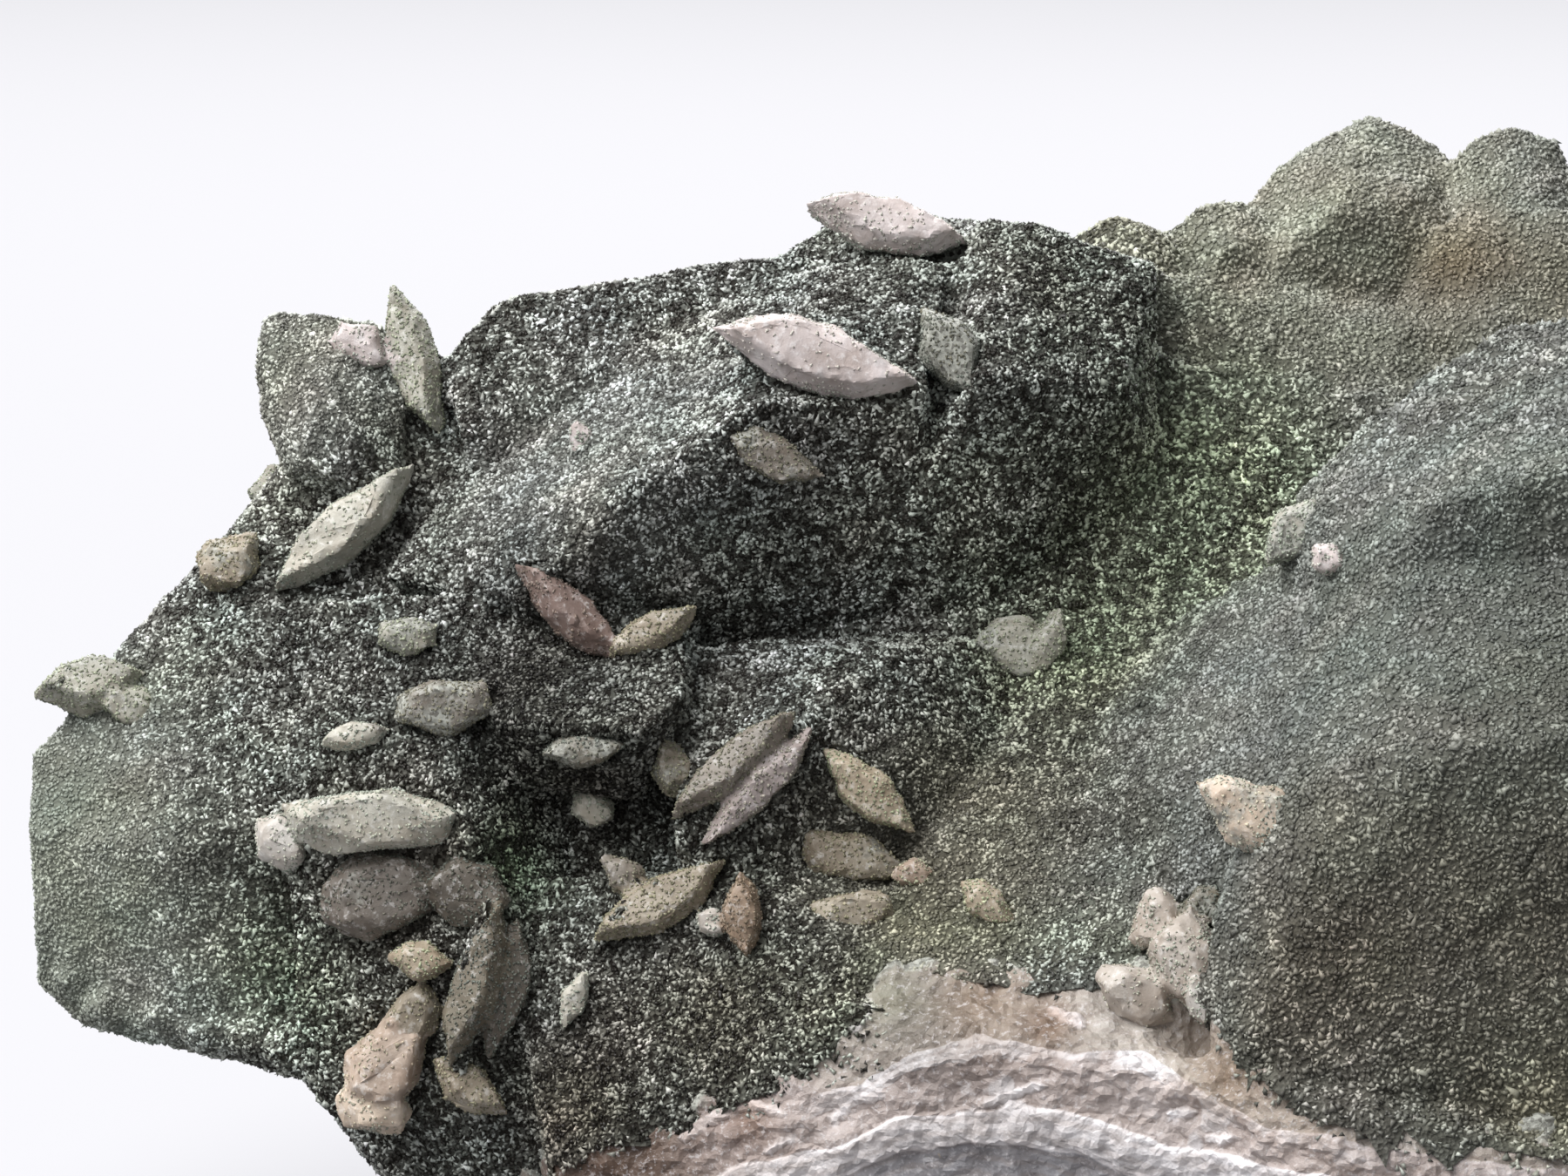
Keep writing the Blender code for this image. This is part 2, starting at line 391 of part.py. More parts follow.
def small_crystal(hit, normal, chance):
    """A short six-sided crystal that leans out of a bigger one."""
    lean = Vector([chance.uniform(-SMALL_LEAN, SMALL_LEAN) for _ in range(3)])
    way = (normal + lean).normalized()
    radius = chance.uniform(*SMALL_RADIUS) * MM
    end = hit + way * chance.uniform(*SMALL_RISE) * MM
    side = way.orthogonal().normalized()
    corners = [end]
    for number in range(6):
        out = Matrix.Rotation(math.tau * number / 6, 3, way) @ side * radius
        corners.append(end + out - way * radius * chance.uniform(*SMALL_SHOULDER))
        corners.append(end + out - way * SMALL_ROOT * radius)
    return hull("small crystal", corners)


def hidden_blade(surface, round_angle, rise, length, width, thickness, turn):
    """A blade that lies on a side that the front view hides."""
    round_angle = math.radians(round_angle)
    rise = math.radians(rise)
    level_way = Vector((math.cos(round_angle), math.sin(round_angle), 0.0))
    way = level_way * math.cos(rise) + Vector((0.0, 0.0, math.sin(rise)))
    hit, normal, _, _ = surface.ray_cast(MIDDLE + way * OUTSIDE, -way)
    level = normal.cross(Vector((0.0, 0.0, 1.0))).normalized()
    along = Matrix.Rotation(math.radians(turn), 3, normal) @ level
    middle = hit + normal * HIDDEN_LIFT * MM
    return blade(middle, (length, width, thickness), (along, normal.cross(along), normal))


def ledge_end(surface, across, up):
    """Corners of one end of a ledge piece, set where the front view meets the surface."""
    eye = place(EYE_ACROSS, EYE_UP, -EYE_DISTANCE)
    middle = up - LEDGE_HEIGHT / 2.0
    hit = surface.ray_cast(eye, place(across, middle, 0.0) - eye)[0]
    deep = (hit - place(across, middle, 0.0)).dot(DEEP) / MM
    foot = up - LEDGE_HEIGHT
    return [
        place(across, up, deep - LEDGE_REACH / 2.0), place(across, middle, deep - LEDGE_REACH),
        place(across, foot, deep - LEDGE_REACH / 2.0), place(across, up, deep + LEDGE_ROOT),
        place(across, foot, deep + LEDGE_ROOT),
    ]


def ledge_pieces(body):
    """The pale ledges of the broken rim, piece by piece along their top edges."""
    surface = surface_of(body)
    pieces = []
    for edge in LEDGES:
        ends = [ledge_end(surface, *spot) for spot in edge]
        for first, second in zip(ends, ends[1:]):
            corners = first + second
            middle = sum(corners, Vector()) / len(corners)
            pieces.append(hull("ledge", [middle + (c - middle) * LEDGE_OVERLAP for c in corners]))
    return pieces


def settle(item):
    """Applies the modifiers of an object to its mesh."""
    view = bpy.context.evaluated_depsgraph_get()
    mesh = bpy.data.meshes.new_from_object(item.evaluated_get(view))
    item.modifiers.clear()
    item.data = mesh


def combine(body, other, operation):
    """Grows the other solid into the body, or cuts it away."""
    step = body.modifiers.new("combine", "BOOLEAN")
    step.operation = operation
    step.solver = "MANIFOLD"
    step.object = other
    settle(body)
    bpy.data.objects.remove(other, do_unlink=True)


def fill_voids(item):
    """Keeps the outer surface alone, so that hollows sealed between the crystals are filled."""
    bm = bmesh.new()
    bm.from_mesh(item.data)
    waiting = set(bm.faces)
    shells = []
    while waiting:
        shell = []
        edge_of_shell = [waiting.pop()]
        while edge_of_shell:
            face = edge_of_shell.pop()
            shell.append(face)
            for edge in face.edges:
                for other in edge.link_faces:
                    if other in waiting:
                        waiting.remove(other)
                        edge_of_shell.append(other)
        shells.append(shell)
    shells.sort(key=len)
    for shell in shells[:-1]:
        bmesh.ops.delete(bm, geom=shell, context="FACES")
    loose = [v for v in bm.verts if not v.link_faces]
    bmesh.ops.delete(bm, geom=loose, context="VERTS")
    bm.to_mesh(item.data)
    bm.free()


def chlorite_coat():
    """Dull grey green, as the skin of chlorite grains is."""
    coat = bpy.data.materials.new("chlorite coat")
    coat.use_nodes = True
    shader = coat.node_tree.nodes["Principled BSDF"]
    shader.inputs["Base Color"].default_value = (0.13, 0.145, 0.115, 1.0)
    shader.inputs["Roughness"].default_value = 0.62
    shader.inputs["Metallic"].default_value = 0.0
    return coat


def floor_block():
    """The block that cuts the matrix off flat at the foot."""
    bpy.ops.mesh.primitive_cube_add(size=BLOCK, location=(0.0, 0.0, -BLOCK / 2.0))
    return bpy.context.active_object


def main():
    clear_scene()
    parts = [hull(name, [place(*c) for c in corners]) for name, corners in FORMS.items()]
    parts += [crystal("side crystal", *values) for values in CRYSTALS]
    for end in STEPS:
        foot = [value + reach for value, reach in zip(end, STEP_REACH)]
        parts.append(crystal("step", foot, end, STEP_RADIUS, STEP_POINT, 15.0))
    body = parts[0]
    for other in parts[1:]:
        combine(body, other, "UNION")
    chance = random.Random(SEED)
    for other in [small_crystal(*hit, chance) for hit in surface_hits(body, SMALL_CRYSTALS, chance)]:
        combine(body, other, "UNION")
    surface = surface_of(body)
    grown = ledge_pieces(body)
    grown += [hidden_blade(surface, *row) for row in HIDDEN_BLADES]
    grown += [blade(place(*row[:3]), row[3:6], frame_of(*row[6:])) for row in BLADES]
    grown += [lump(place(*row[:3]), row[3:6], frame_of(*row[6:]), chance) for row in LUMPS]
    for other in grown:
        combine(body, other, "UNION")
    combine(body, floor_block(), "DIFFERENCE")
    fill_voids(body)
    body.name = "chlorite_quartz_cluster"
    body.data.materials.clear()
    body.data.materials.append(chlorite_coat())


main()
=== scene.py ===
"""Finish of the chlorite coated quartz cluster: its coat of grains, its blades and its broken rim."""

import math
import random

import bmesh
import bpy
import numpy as np
from mathutils import Matrix, Vector, noise
from mathutils.bvhtree import BVHTree


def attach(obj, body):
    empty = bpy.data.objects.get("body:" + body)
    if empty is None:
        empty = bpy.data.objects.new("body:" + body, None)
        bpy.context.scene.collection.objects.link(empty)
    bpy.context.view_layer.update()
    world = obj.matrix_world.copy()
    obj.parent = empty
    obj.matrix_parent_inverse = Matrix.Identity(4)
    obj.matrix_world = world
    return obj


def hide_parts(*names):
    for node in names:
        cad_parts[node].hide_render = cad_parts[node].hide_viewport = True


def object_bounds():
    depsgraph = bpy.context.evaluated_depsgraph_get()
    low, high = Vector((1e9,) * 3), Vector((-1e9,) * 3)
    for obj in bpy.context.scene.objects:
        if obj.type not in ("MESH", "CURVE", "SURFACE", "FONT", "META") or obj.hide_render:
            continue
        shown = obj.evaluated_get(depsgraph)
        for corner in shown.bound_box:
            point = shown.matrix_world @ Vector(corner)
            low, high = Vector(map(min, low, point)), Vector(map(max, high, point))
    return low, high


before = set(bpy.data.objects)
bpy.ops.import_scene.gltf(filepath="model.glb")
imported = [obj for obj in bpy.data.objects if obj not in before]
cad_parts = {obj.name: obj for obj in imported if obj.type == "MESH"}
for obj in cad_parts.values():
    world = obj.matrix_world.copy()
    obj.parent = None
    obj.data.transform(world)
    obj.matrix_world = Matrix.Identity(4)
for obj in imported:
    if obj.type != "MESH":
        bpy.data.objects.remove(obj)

bl_info = {
    "name": "Chlorite coated quartz",
    "version": (1, 0, 0),
    "blender": (4, 5, 0),
    "location": "View3D > Sidebar > Quartz",
    "description": "Builds the coat, the blades, the broken rim and the studio round the quartz cluster",
    "category": "Object",
}

CAD_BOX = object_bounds()
CLUSTER = "chlorite_quartz_cluster"
BODY = "root"
SEED = 7

# The front view, in millimetres: across, up and deep as an eye at this distance sees them
MM = 0.001
VIEW_TILT = math.radians(10.0)
EYE_DISTANCE = 260.0
EYE_ACROSS = 22.5
EYE_UP = 20.6
FRAME_WIDTH = 45.0
FOOT_MIDDLE = (29.65, 11.57, -0.87)
ACROSS = np.array((1.0, 0.0, 0.0))
UP = np.array((0.0, math.sin(VIEW_TILT), math.cos(VIEW_TILT)))
DEEP = np.array((0.0, math.cos(VIEW_TILT), -math.sin(VIEW_TILT)))

# Blades grown on the crystals: across, up, deep, length, width, thickness, turn, dip, lean, tone, dust.
# Lumps lie square to the view, so their rows have a turn and no dip or lean
BLADES = [
    (25.4, 31.0, 7.4, 5.2, 1.9, 1.6, -14, 4, -25, "pale pink", 0.3),
    (23.4, 27.2, 1.8, 6.3, 2.3, 1.8, -16, 5, -12, "pale pink", 0.05),
    (27.25, 27.3, 3.7, 3.0, 1.7, 1.7, -60, 0, 0, "umber", 0.9),
    (11.95, 27.1, 7.6, 4.9, 1.4, 1.3, -73, -12, 20, "olive", 0.4),
    (9.8, 22.2, 5.6, 5.8, 1.8, 1.7, 42, 0, -15, "pale", 0.45),
    (16.7, 24.8, 4.1, 1.3, 0.7, 0.5, -75, 0, 0, "pink", 0.2),
    (22.1, 24.45, 1.3, 3.2, 1.3, 0.9, -25, 4, 12, "dun", 0.5),
    (16.35, 19.85, 1.3, 4.1, 1.15, 1.2, -42, 0, -30, "red", 0.1),
    (18.75, 19.3, 1.2, 3.1, 1.1, 1.0, 30, 6, -20, "tan", 0.4),
    (10.2, 16.3, 0.3, 2.0, 0.75, 0.7, 12, 0, -20, "pale", 0.3),
    (16.7, 15.95, -0.9, 2.5, 1.0, 0.9, 5, 0, 0, "umber", 0.7),
    (21.05, 15.5, -1.3, 5.2, 1.1, 1.0, 40, 0, -25, "dun", 0.4),
    (21.75, 14.9, -1.3, 5.0, 1.0, 1.0, 46, 0, 15, "rose", 0.15),
    (24.9, 14.8, -0.1, 3.5, 1.25, 1.0, -43, 0, 12, "sandy", 0.25),
    (18.9, 11.6, -0.9, 4.7, 1.5, 1.2, 30, 0, -15, "tan", 0.25),
    (18.05, 12.25, -0.5, 1.9, 0.9, 0.8, -40, 0, 10, "dun", 0.2),
    (21.35, 11.2, -1.9, 2.5, 1.05, 0.9, -84, 0, 10, "rust", 0.15),
    (20.4, 11.0, -1.5, 0.95, 0.6, 0.6, -30, 0, 0, "white", 0.0),
    (28.3, 11.6, -2.2, 2.0, 1.1, 1.0, -40, 0, 10, "sandy", 0.05),
    (30.1, 19.1, 4.9, 1.9, 0.9, 0.9, 70, 0, 20, "olive", 0.5),
    (12.1, 9.9, -0.2, 1.9, 1.0, 1.0, -5, 0, 0, "sandy", 0.1),
    (13.7, 9.3, -0.9, 5.0, 1.3, 1.2, 72, 0, -20, "umber", 0.3),
    (14.5, 9.1, -0.5, 4.2, 1.4, 0.8, 78, 0, 25, "dark", 0.1),
    (13.45, 6.3, -0.1, 2.7, 1.2, 1.0, -38, 0, -20, "tan", 0.1),
    (16.5, 8.8, -1.1, 1.8, 0.65, 0.7, 68, 0, 0, "pale", 0.1),
    (37.1, 22.2, 0.9, 2.2, 1.5, 1.0, 50, 0, 0, "sand", 0.7),
    (2.6, 17.8, 5.2, 3.4, 1.5, 1.6, 8, 6, -20, "olive", 0.5),
    (34.4, 8.8, -6.0, 1.4, 0.6, 0.6, -80, 0, 0, "white", 0.0),
]
LUMPS = [
    (10.35, 27.5, 7.25, 1.9, 1.3, 0.9, -35, "pink", 0.3),
    (6.5, 21.3, 5.9, 2.3, 1.7, 1.6, 35, "tan", 0.6),
    (11.7, 19.2, 1.4, 1.9, 1.2, 0.9, 5, "olive", 0.7),
    (12.75, 17.2, 0.2, 3.5, 1.7, 1.2, 10, "dun", 0.7),
    (17.05, 14.25, 1.6, 1.5, 1.1, 1.2, -50, "sand", 0.5),
    (19.3, 15.5, 0.8, 1.9, 1.1, 2.2, -70, "beige", 0.5),
    (24.3, 12.9, 0.2, 3.4, 1.7, 1.1, -16, "tan", 0.5),
    (24.5, 11.3, -1.2, 2.9, 1.4, 1.1, 8, "tan", 0.4),
    (26.25, 12.4, -0.6, 1.2, 0.9, 0.8, 0, "peach", 0.2),
    (29.2, 18.8, 5.2, 2.6, 2.0, 1.2, -20, "olive", 0.7),
    (10.6, 13.95, -0.3, 5.5, 2.1, 2.0, -2, "pale", 0.3),
    (8.1, 13.4, 1.2, 2.1, 1.6, 1.8, -60, "white", 0.2),
    (10.9, 11.8, 0.3, 4.2, 2.8, 1.5, 8, "mauve", 0.35),
    (13.4, 11.9, -0.3, 3.0, 2.0, 1.2, -30, "dark", 0.3),
    (11.1, 6.95, 0.5, 3.8, 2.3, 2.4, 66, "peach", 0.0),
    (11.8, 8.3, 0.2, 2.1, 1.4, 1.4, 50, "tan", 0.1),
    (10.8, 5.8, 0.6, 2.4, 1.9, 2.0, -20, "bright", 0.0),
    (33.2, 11.1, -3.9, 1.9, 1.3, 1.4, 60, "cream", 0.0),
    (34.1, 9.9, -4.9, 3.0, 2.5, 2.4, -50, "cream", 0.0),
    (34.45, 11.4, -4.2, 1.5, 1.2, 1.1, 30, "umber", 0.8),
    (32.6, 8.9, -4.7, 2.6, 1.7, 1.6, -30, "cream", 0.0),
    (36.1, 14.0, -6.4, 4.0, 2.0, 1.2, -35, "bright", 0.6),
    (38.1, 21.4, -1.6, 1.0, 0.9, 0.9, 0, "pale pink", 0.1),
    (3.7, 17.2, 4.8, 2.0, 1.2, 1.4, -20, "olive", 0.5),
    (27.7, 4.65, -4.75, 2.8, 0.8, 0.6, 10, "cream", 0.0),
]
# Blades on the hidden sides: the way from the middle out to them as an angle from the right end round by
# the back and an angle above level, then length, width, thickness and turn on the surface, tone and dust
HIDDEN_BLADES = [
    (12, 22, 3.8, 1.4, 1.1, 20, "beige", 0.4), (27, 6, 4.6, 1.7, 1.3, -35, "olive", 0.4),
    (40, 33, 3.0, 1.2, 1.0, 70, "pink", 0.3), (52, 14, 4.0, 1.5, 1.2, 10, "beige", 0.3),
    (63, 36, 3.4, 1.3, 1.0, -60, "olive", 0.6), (71, 10, 2.6, 1.2, 0.9, 45, "peach", 0.2),
    (84, 26, 4.4, 1.6, 1.2, -15, "beige", 0.4), (97, 12, 3.2, 1.2, 1.0, 80, "brown", 0.4),
    (106, 34, 3.8, 1.5, 1.1, 30, "pink", 0.4), (118, 20, 4.8, 1.7, 1.3, -40, "beige", 0.3),
    (130, 9, 3.0, 1.1, 1.0, 15, "olive", 0.4), (142, 33, 3.6, 1.4, 1.1, -70, "pink", 0.3),
    (154, 14, 4.2, 1.5, 1.2, 55, "beige", 0.4), (166, 27, 2.8, 1.2, 0.9, -10, "olive", 0.6),
    (-6, 12, 3.2, 1.3, 1.0, 65, "peach", 0.3), (-14, 28, 2.6, 1.1, 0.9, -25, "beige", 0.5),
]
HIDDEN_MIDDLE = (0.0, 0.0, 0.010)
OUTSIDE = 0.2

TONES = {
    "beige": (0.37, 0.33, 0.265),
    "sand": (0.42, 0.405, 0.345),
    "olive": (0.34, 0.335, 0.285),
    "pink": (0.50, 0.445, 0.435),
    "peach": (0.43, 0.345, 0.28),
    "cream": (0.44, 0.395, 0.35),
    "brown": (0.24, 0.20, 0.16),
    "mauve": (0.15, 0.13, 0.11),
    "umber": (0.155, 0.135, 0.10),
    "pale": (0.45, 0.435, 0.375),
    "pale pink": (0.56, 0.50, 0.49),
    "dark": (0.115, 0.10, 0.08),
    "dun": (0.22, 0.195, 0.165),
    "tan": (0.30, 0.26, 0.20),
    "rust": (0.26, 0.19, 0.135),
    "rose": (0.33, 0.285, 0.275),
    "sandy": (0.43, 0.365, 0.275),
    "bright": (0.62, 0.52, 0.42),
    "red": (0.22, 0.16, 0.14),
    "white": (0.55, 0.52, 0.48),
}

# Patches of the coat: across, up, deep, radius and the colour that multiplies the grains there. The coloured
# ones are the coat's own green, brown and warm tones; the grey ones are painted light above 1 and painted
# shade below 1
TINT_AND_PAINTED_LIGHT_PATCHES = [
    # Painted light on the valley, the first also the valley's own green
    (34.5, 22.0, 8.0, 4.5, (1.22, 1.32, 1.06)),
    (35.0, 25.5, 9.0, 3.6, (1.30, 1.34, 1.22)),
    # The coat's own green, brown and warm tones
    (30.5, 18.5, 5.0, 3.0, (1.00, 1.06, 0.84)),
    (14.6, 12.6, 0.5, 1.6, (0.72, 0.90, 0.64)),
    (8.5, 9.5, 2.0, 2.2, (0.95, 1.06, 0.88)),
    (26.0, 10.5, -2.0, 3.4, (0.98, 0.92, 0.80)),
    (28.6, 14.5, 0.0, 4.0, (0.86, 0.80, 0.68)),
    (44.0, 12.0, -9.0, 5.0, (0.84, 0.76, 0.68)),
    (38.5, 9.5, -8.5, 4.0, (0.80, 0.70, 0.62)),
    (44.5, 6.0, -8.0, 2.5, (1.20, 1.16, 0.92)),
    # Painted shade over the front right mass, then painted light on it
    (43.0, 18.0, -7.0, 7.0, (0.62, 0.65, 0.62)),
    (41.0, 17.0, -7.5, 2.8, (1.40, 1.38, 1.38)),
    # Painted light over the back crystals
    (39.5, 31.5, 16.0, 5.0, (1.54, 1.47, 1.33)),
    (32.0, 30.5, 14.0, 4.0, (1.15, 1.13, 1.00)),
    # The back crystals' own brown and warm tones
    (41.8, 29.8, 14.5, 1.6, (0.70, 0.58, 0.48)),
    (45.0, 28.5, 14.0, 2.6, (0.96, 0.88, 0.76)),
    (37.5, 27.0, 13.0, 5.0, (0.98, 0.96, 0.90)),
    # Painted light on the left end, the knob, the upper back and the dark right face; the small patch at the
    # left edge is a painted highlight
    (2.0, 13.0, 6.0, 6.0, (1.22, 1.26, 1.16)),
    (5.0, 13.0, 4.5, 2.2, (1.22, 1.20, 1.12)),
    (6.2, 9.0, 4.0, 3.2, (1.75, 1.75, 1.75)),
    (8.5, 26.0, 7.5, 3.2, (1.60, 1.55, 1.47)),
    (17.0, 28.2, 6.5, 3.0, (1.26, 1.24, 1.25)),
    (0.9, 12.0, 5.0, 1.6, (1.20, 1.22, 1.20)),
    (17.0, 24.5, 4.0, 4.0, (1.18, 1.18, 1.19)),
    (26.3, 23.6, 4.0, 3.0, (1.62, 1.62, 1.56)),
    # Painted shade on shaded faces and creases; the two lowest are also browner
    (30.3, 28.3, 6.5, 2.6, (0.80, 0.82, 0.78)),
    (20.6, 8.4, -2.0, 3.2, (0.60, 0.57, 0.49)),
    (16.5, 5.6, -1.0, 2.6, (0.60, 0.50, 0.43)),
    (18.8, 26.2, 4.0, 1.8, (0.74, 0.74, 0.75)),
    (15.2, 17.6, 0.5, 3.2, (0.26, 0.24, 0.23)),
    (17.0, 14.5, 0.0, 2.8, (0.55, 0.51, 0.47)),
    # The coat's own pinkish tone
    (11.5, 11.8, 0.0, 2.6, (0.95, 0.84, 0.82)),
]

# Places where the grains are nearer to one tone: across, up, deep, radius and how near
EVEN_PATCHES = [
    (1.0, 12.0, 6.0, 7.0, 1.0), (44.0, 17.0, -6.0, 14.0, 0.95), (40.0, 31.0, 16.0, 9.0, 1.0),
    (48.0, 24.0, 2.0, 8.0, 0.7), (9.0, 26.5, 7.0, 3.0, 0.6), (17.0, 24.0, 4.0, 4.5, 0.4),
    (28.0, 12.0, 0.0, 5.0, 0.5), (27.0, 10.6, -2.5, 2.5, 0.55), (33.0, 24.0, 9.0, 4.0, 0.15),
]
EVEN_EVERYWHERE = 0.06

# Top edge of the coat's lower border and of the rim's two pale ledges in the front view: across, up
COAT_BORDER = [
    (0.0, -9.0), (12.0, -2.0), (14.8, 4.15), (17.75, 5.2), (19.55, 5.85), (20.8, 6.4), (22.0, 6.6),
    (23.0, 7.1), (23.9, 7.35), (24.6, 8.6), (25.7, 9.9), (27.5, 10.0), (31.9, 9.7), (34.8, 8.6),
    (35.7, 7.3), (37.4, 5.95), (39.2, 5.7), (41.5, 5.0), (45.0, 4.8), (60.0, 4.3),
]
LOWER_LEDGE = [
    (12.0, -1.0), (15.5, 1.0), (18.5, 2.6), (21.1, 3.8), (24.0, 4.7), (25.7, 5.4), (27.5, 5.75), (30.5, 5.6),
    (32.6, 4.9), (34.5, 4.35), (37.3, 3.75), (41.0, 3.0), (45.0, 2.5), (60.0, 2.0),
]
UPPER_LEDGE = [
    (12.0, 1.0), (20.0, 4.9), (24.0, 6.4), (26.0, 7.1), (28.1, 7.75), (29.8, 7.3), (32.75, 7.25),
    (33.7, 6.8), (34.8, 5.9), (36.3, 5.2), (38.5, 4.8), (45.0, 3.7), (60.0, 3.2),
]
LEDGE_HEIGHTS = (1.0, 0.55)
# White streaks on the rim in the front view, each a line of places and its half width
STREAKS = [
    ([(19.7, 4.9), (20.5, 5.45), (21.6, 5.8), (22.4, 5.6)], 0.16),
    ([(22.0, 4.45), (22.8, 4.85)], 0.12), ([(23.9, 5.35), (24.3, 5.7)], 0.16),
    ([(24.9, 5.9), (25.3, 6.05)], 0.12), ([(28.4, 5.85), (29.8, 6.3)], 0.18),
    ([(33.6, 5.5), (34.2, 5.55)], 0.12), ([(34.7, 4.75), (35.3, 4.85)], 0.13),
    ([(30.2, 8.5), (31.0, 8.15)], 0.16), ([(24.5, 8.0), (24.9, 8.6)], 0.22),
    ([(39.3, 5.3), (40.3, 5.25)], 0.14),
]
# Patches of the rim in the front view: across, up, radius and the colour that multiplies it
RIM_SPOTS = [
    (30.1, 8.05, 0.8, (0.55, 0.42, 0.33)), (31.8, 8.5, 1.3, (1.20, 1.25, 1.30)),
    (35.3, 6.6, 1.3, (0.62, 0.52, 0.42)), (37.5, 5.5, 1.6, (0.80, 0.74, 0.68)),
    (28.0, 8.7, 1.4, (0.85, 0.74, 0.64)), (25.5, 8.9, 1.0, (0.95, 1.02, 0.90)),
    (21.5, 5.3, 0.8, (0.66, 0.54, 0.46)), (17.6, 4.2, 3.4, (0.38, 0.29, 0.23)),
    (26.3, 8.6, 1.6, (0.66, 0.68, 0.68)), (33.2, 6.2, 1.8, (1.34, 1.38, 1.40)),
    (27.3, 6.6, 2.0, (0.72, 0.71, 0.70)), (37.5, 4.6, 2.6, (1.30, 1.34, 1.38)),
]
HIDDEN_BORDER = 3.6
HIDDEN_LEDGES = (1.9, 3.8)

# Pale band along the coat's lower border, in millimetres above it, and what it adds to the tint there
PALE_BAND_MIDDLE = 0.8
PALE_BAND_WIDTH = 0.9
PALE_BAND_TINT = (0.24, 0.27, 0.19)

# The skin: share of the triangles kept, then millimetres. Skin and rim dip under the blades that they hold
SKIN_SHARE = 0.31
SKIN_DEPTH = 0.05
SKIN_FOOT = 0.3
SKIN_OVERLAP = 0.35
SPIKE_HEIGHT = 0.13
HELD_DEPTH = 0.3
BASE = "cluster base"

# The rim, in millimetres, with the share of its triangles kept; the foot of the lower ledge and the last two
# numbers are in layers, which count from 0 at the top of that ledge
RIM_VOXEL = 0.13
RIM_SOFTNESS = 6
RIM_SHARE = 0.34
RIM_FOOT = 0.2
RIM_OVERLAP = -0.5
RIM_HIGHEST = 13.0
BROKEN_FOOT = 0.6
WELL_COVERED = -9.0
FLATTEN_FACTOR = 0.7
FLATTEN_ROUNDS = 240
LEDGE_STEPS = (0.10, 0.05)
LEDGE_FOOT = -1.12
LAYER_SHIFT = 3.0
LAYER_SPAN = 8.0

# The blades and lumps: outline and levels in halves of their size, then millimetres and degrees
BLADE_OUTLINE = ((-1.0, 0.0), (-0.5, 0.8), (0.1, 1.0), (1.0, 0.1), (0.45, -0.85), (-0.2, -1.0))
LUMP_LEVELS = (-0.75, 0.0, 0.75)
LUMP_SIDES = 6
GROWTH_SWELL = 0.18
GROWTH_VOXEL = 0.10
GROWTH_SHARE = 0.5
BURIED_DEPTH = 0.5
SHARP_ANGLE = 28.0

# The grains: a shard with a pointed top, and sizes in millimetres
SHARD_POINTS = np.array([(1.0, 0.0, -0.35), (-0.55, 0.85, -0.35), (-0.5, -0.9, -0.35), (0.0, 0.05, 0.95)])
SHARD_FACES = np.array([(0, 1, 3), (1, 2, 3), (2, 0, 3), (2, 1, 0)])
GRAIN_SHAPE = np.array((1.30, 0.78, 0.62))
GRAIN_TILT = 0.30
GRAIN_FILL = 1.12
LARGEST_GRAIN = 0.30
CLUMP = 0.9
PATCH_SIZE = 0.42
SPOTS_TRIED = 2.6
CELL_WIDTH = 0.92
CELL_KEYS = (73856093, 19349663, 83492791)
BLADE_GRAIN_GAP = 0.146
BLADE_GRAIN_SIZE = 0.10
HIDDEN_BLADE_GRAINS = 0.4
BLADE_TONE = 0.27
DUSTY_TONE = 0.33
SPECK_SCALE = 8500.0

# What the front view takes in, and by how many faces the sight of it is widened
VIEW_RIGHT = 45.6
VIEW_BOTTOM = 3.0
VIEW_MARGIN = 2
VIEW_STAND_OFF = 0.3

# The studio, in metres, and the colour of its floor and wall
FLOOR_RADIUS = 2.0
LIT_MIDDLE = (0.0, 0.0, 0.016)
WALL = (0.938, 0.932, 0.972)


def value(kind, name, about, default, **more):
    """One property of the panel."""
    return kind(name=name, description=about, default=default, **more)


def length(name, about, default):
    return value(bpy.props.FloatProperty, name, about, default * MM, subtype="DISTANCE", unit="LENGTH",
                 precision=6)


def light(name, about, default):
    return value(bpy.props.FloatProperty, name, about, default)


def colour(name, about, default):
    return value(bpy.props.FloatVectorProperty, name, about, default, subtype="COLOR", size=3)


class CoatSettings(bpy.types.PropertyGroup):
    """Sizes and colours of the chlorite coat."""

    voxel: length("Surface mesh", "Edge of the surface's faces", 0.22)
    front_gap: length("Front grains apart", "Spacing of the grains in front", 0.138)
    right_gap: length("Right grains apart", "Spacing of the grains at the front right", 0.165)
    back_gap: length("Back grains apart", "Spacing of the grains on the back crystals in view", 0.165)
    hidden_gap: length("Hidden grains apart", "Spacing of the grains elsewhere", 0.40)
    relief: length("Relief", "Height of the coat's unevenness", 0.15)
    dark: colour("Dark grains", "Colour of the darkest grains", (0.016, 0.013, 0.010))
    middle: colour("Middle grains", "Colour of many grains", (0.185, 0.192, 0.172))
    light: colour("Light grains", "Colour of the lightest grains", (0.47, 0.495, 0.46))
    # The few white grains are painted glints
    painted_glint: colour("Sparkles", "Colour of a few white grains", (0.86, 0.87, 0.85))


class RimSettings(bpy.types.PropertyGroup):
    """Sizes and colours of the broken rim."""

    mauve: colour("Mauve band", "Colour of the granular band", (0.41, 0.352, 0.332))
    brown: colour("Brown band", "Colour of the granular band's left end", (0.20, 0.15, 0.12))
    white: colour("White ledges", "Colour of the chalky ledges", (0.62, 0.59, 0.595))
    tan: colour("Tan band", "Colour of the upper band", (0.34, 0.30, 0.262))
    core: colour("Quartz", "Colour of the bare quartz below", (0.34, 0.33, 0.345))


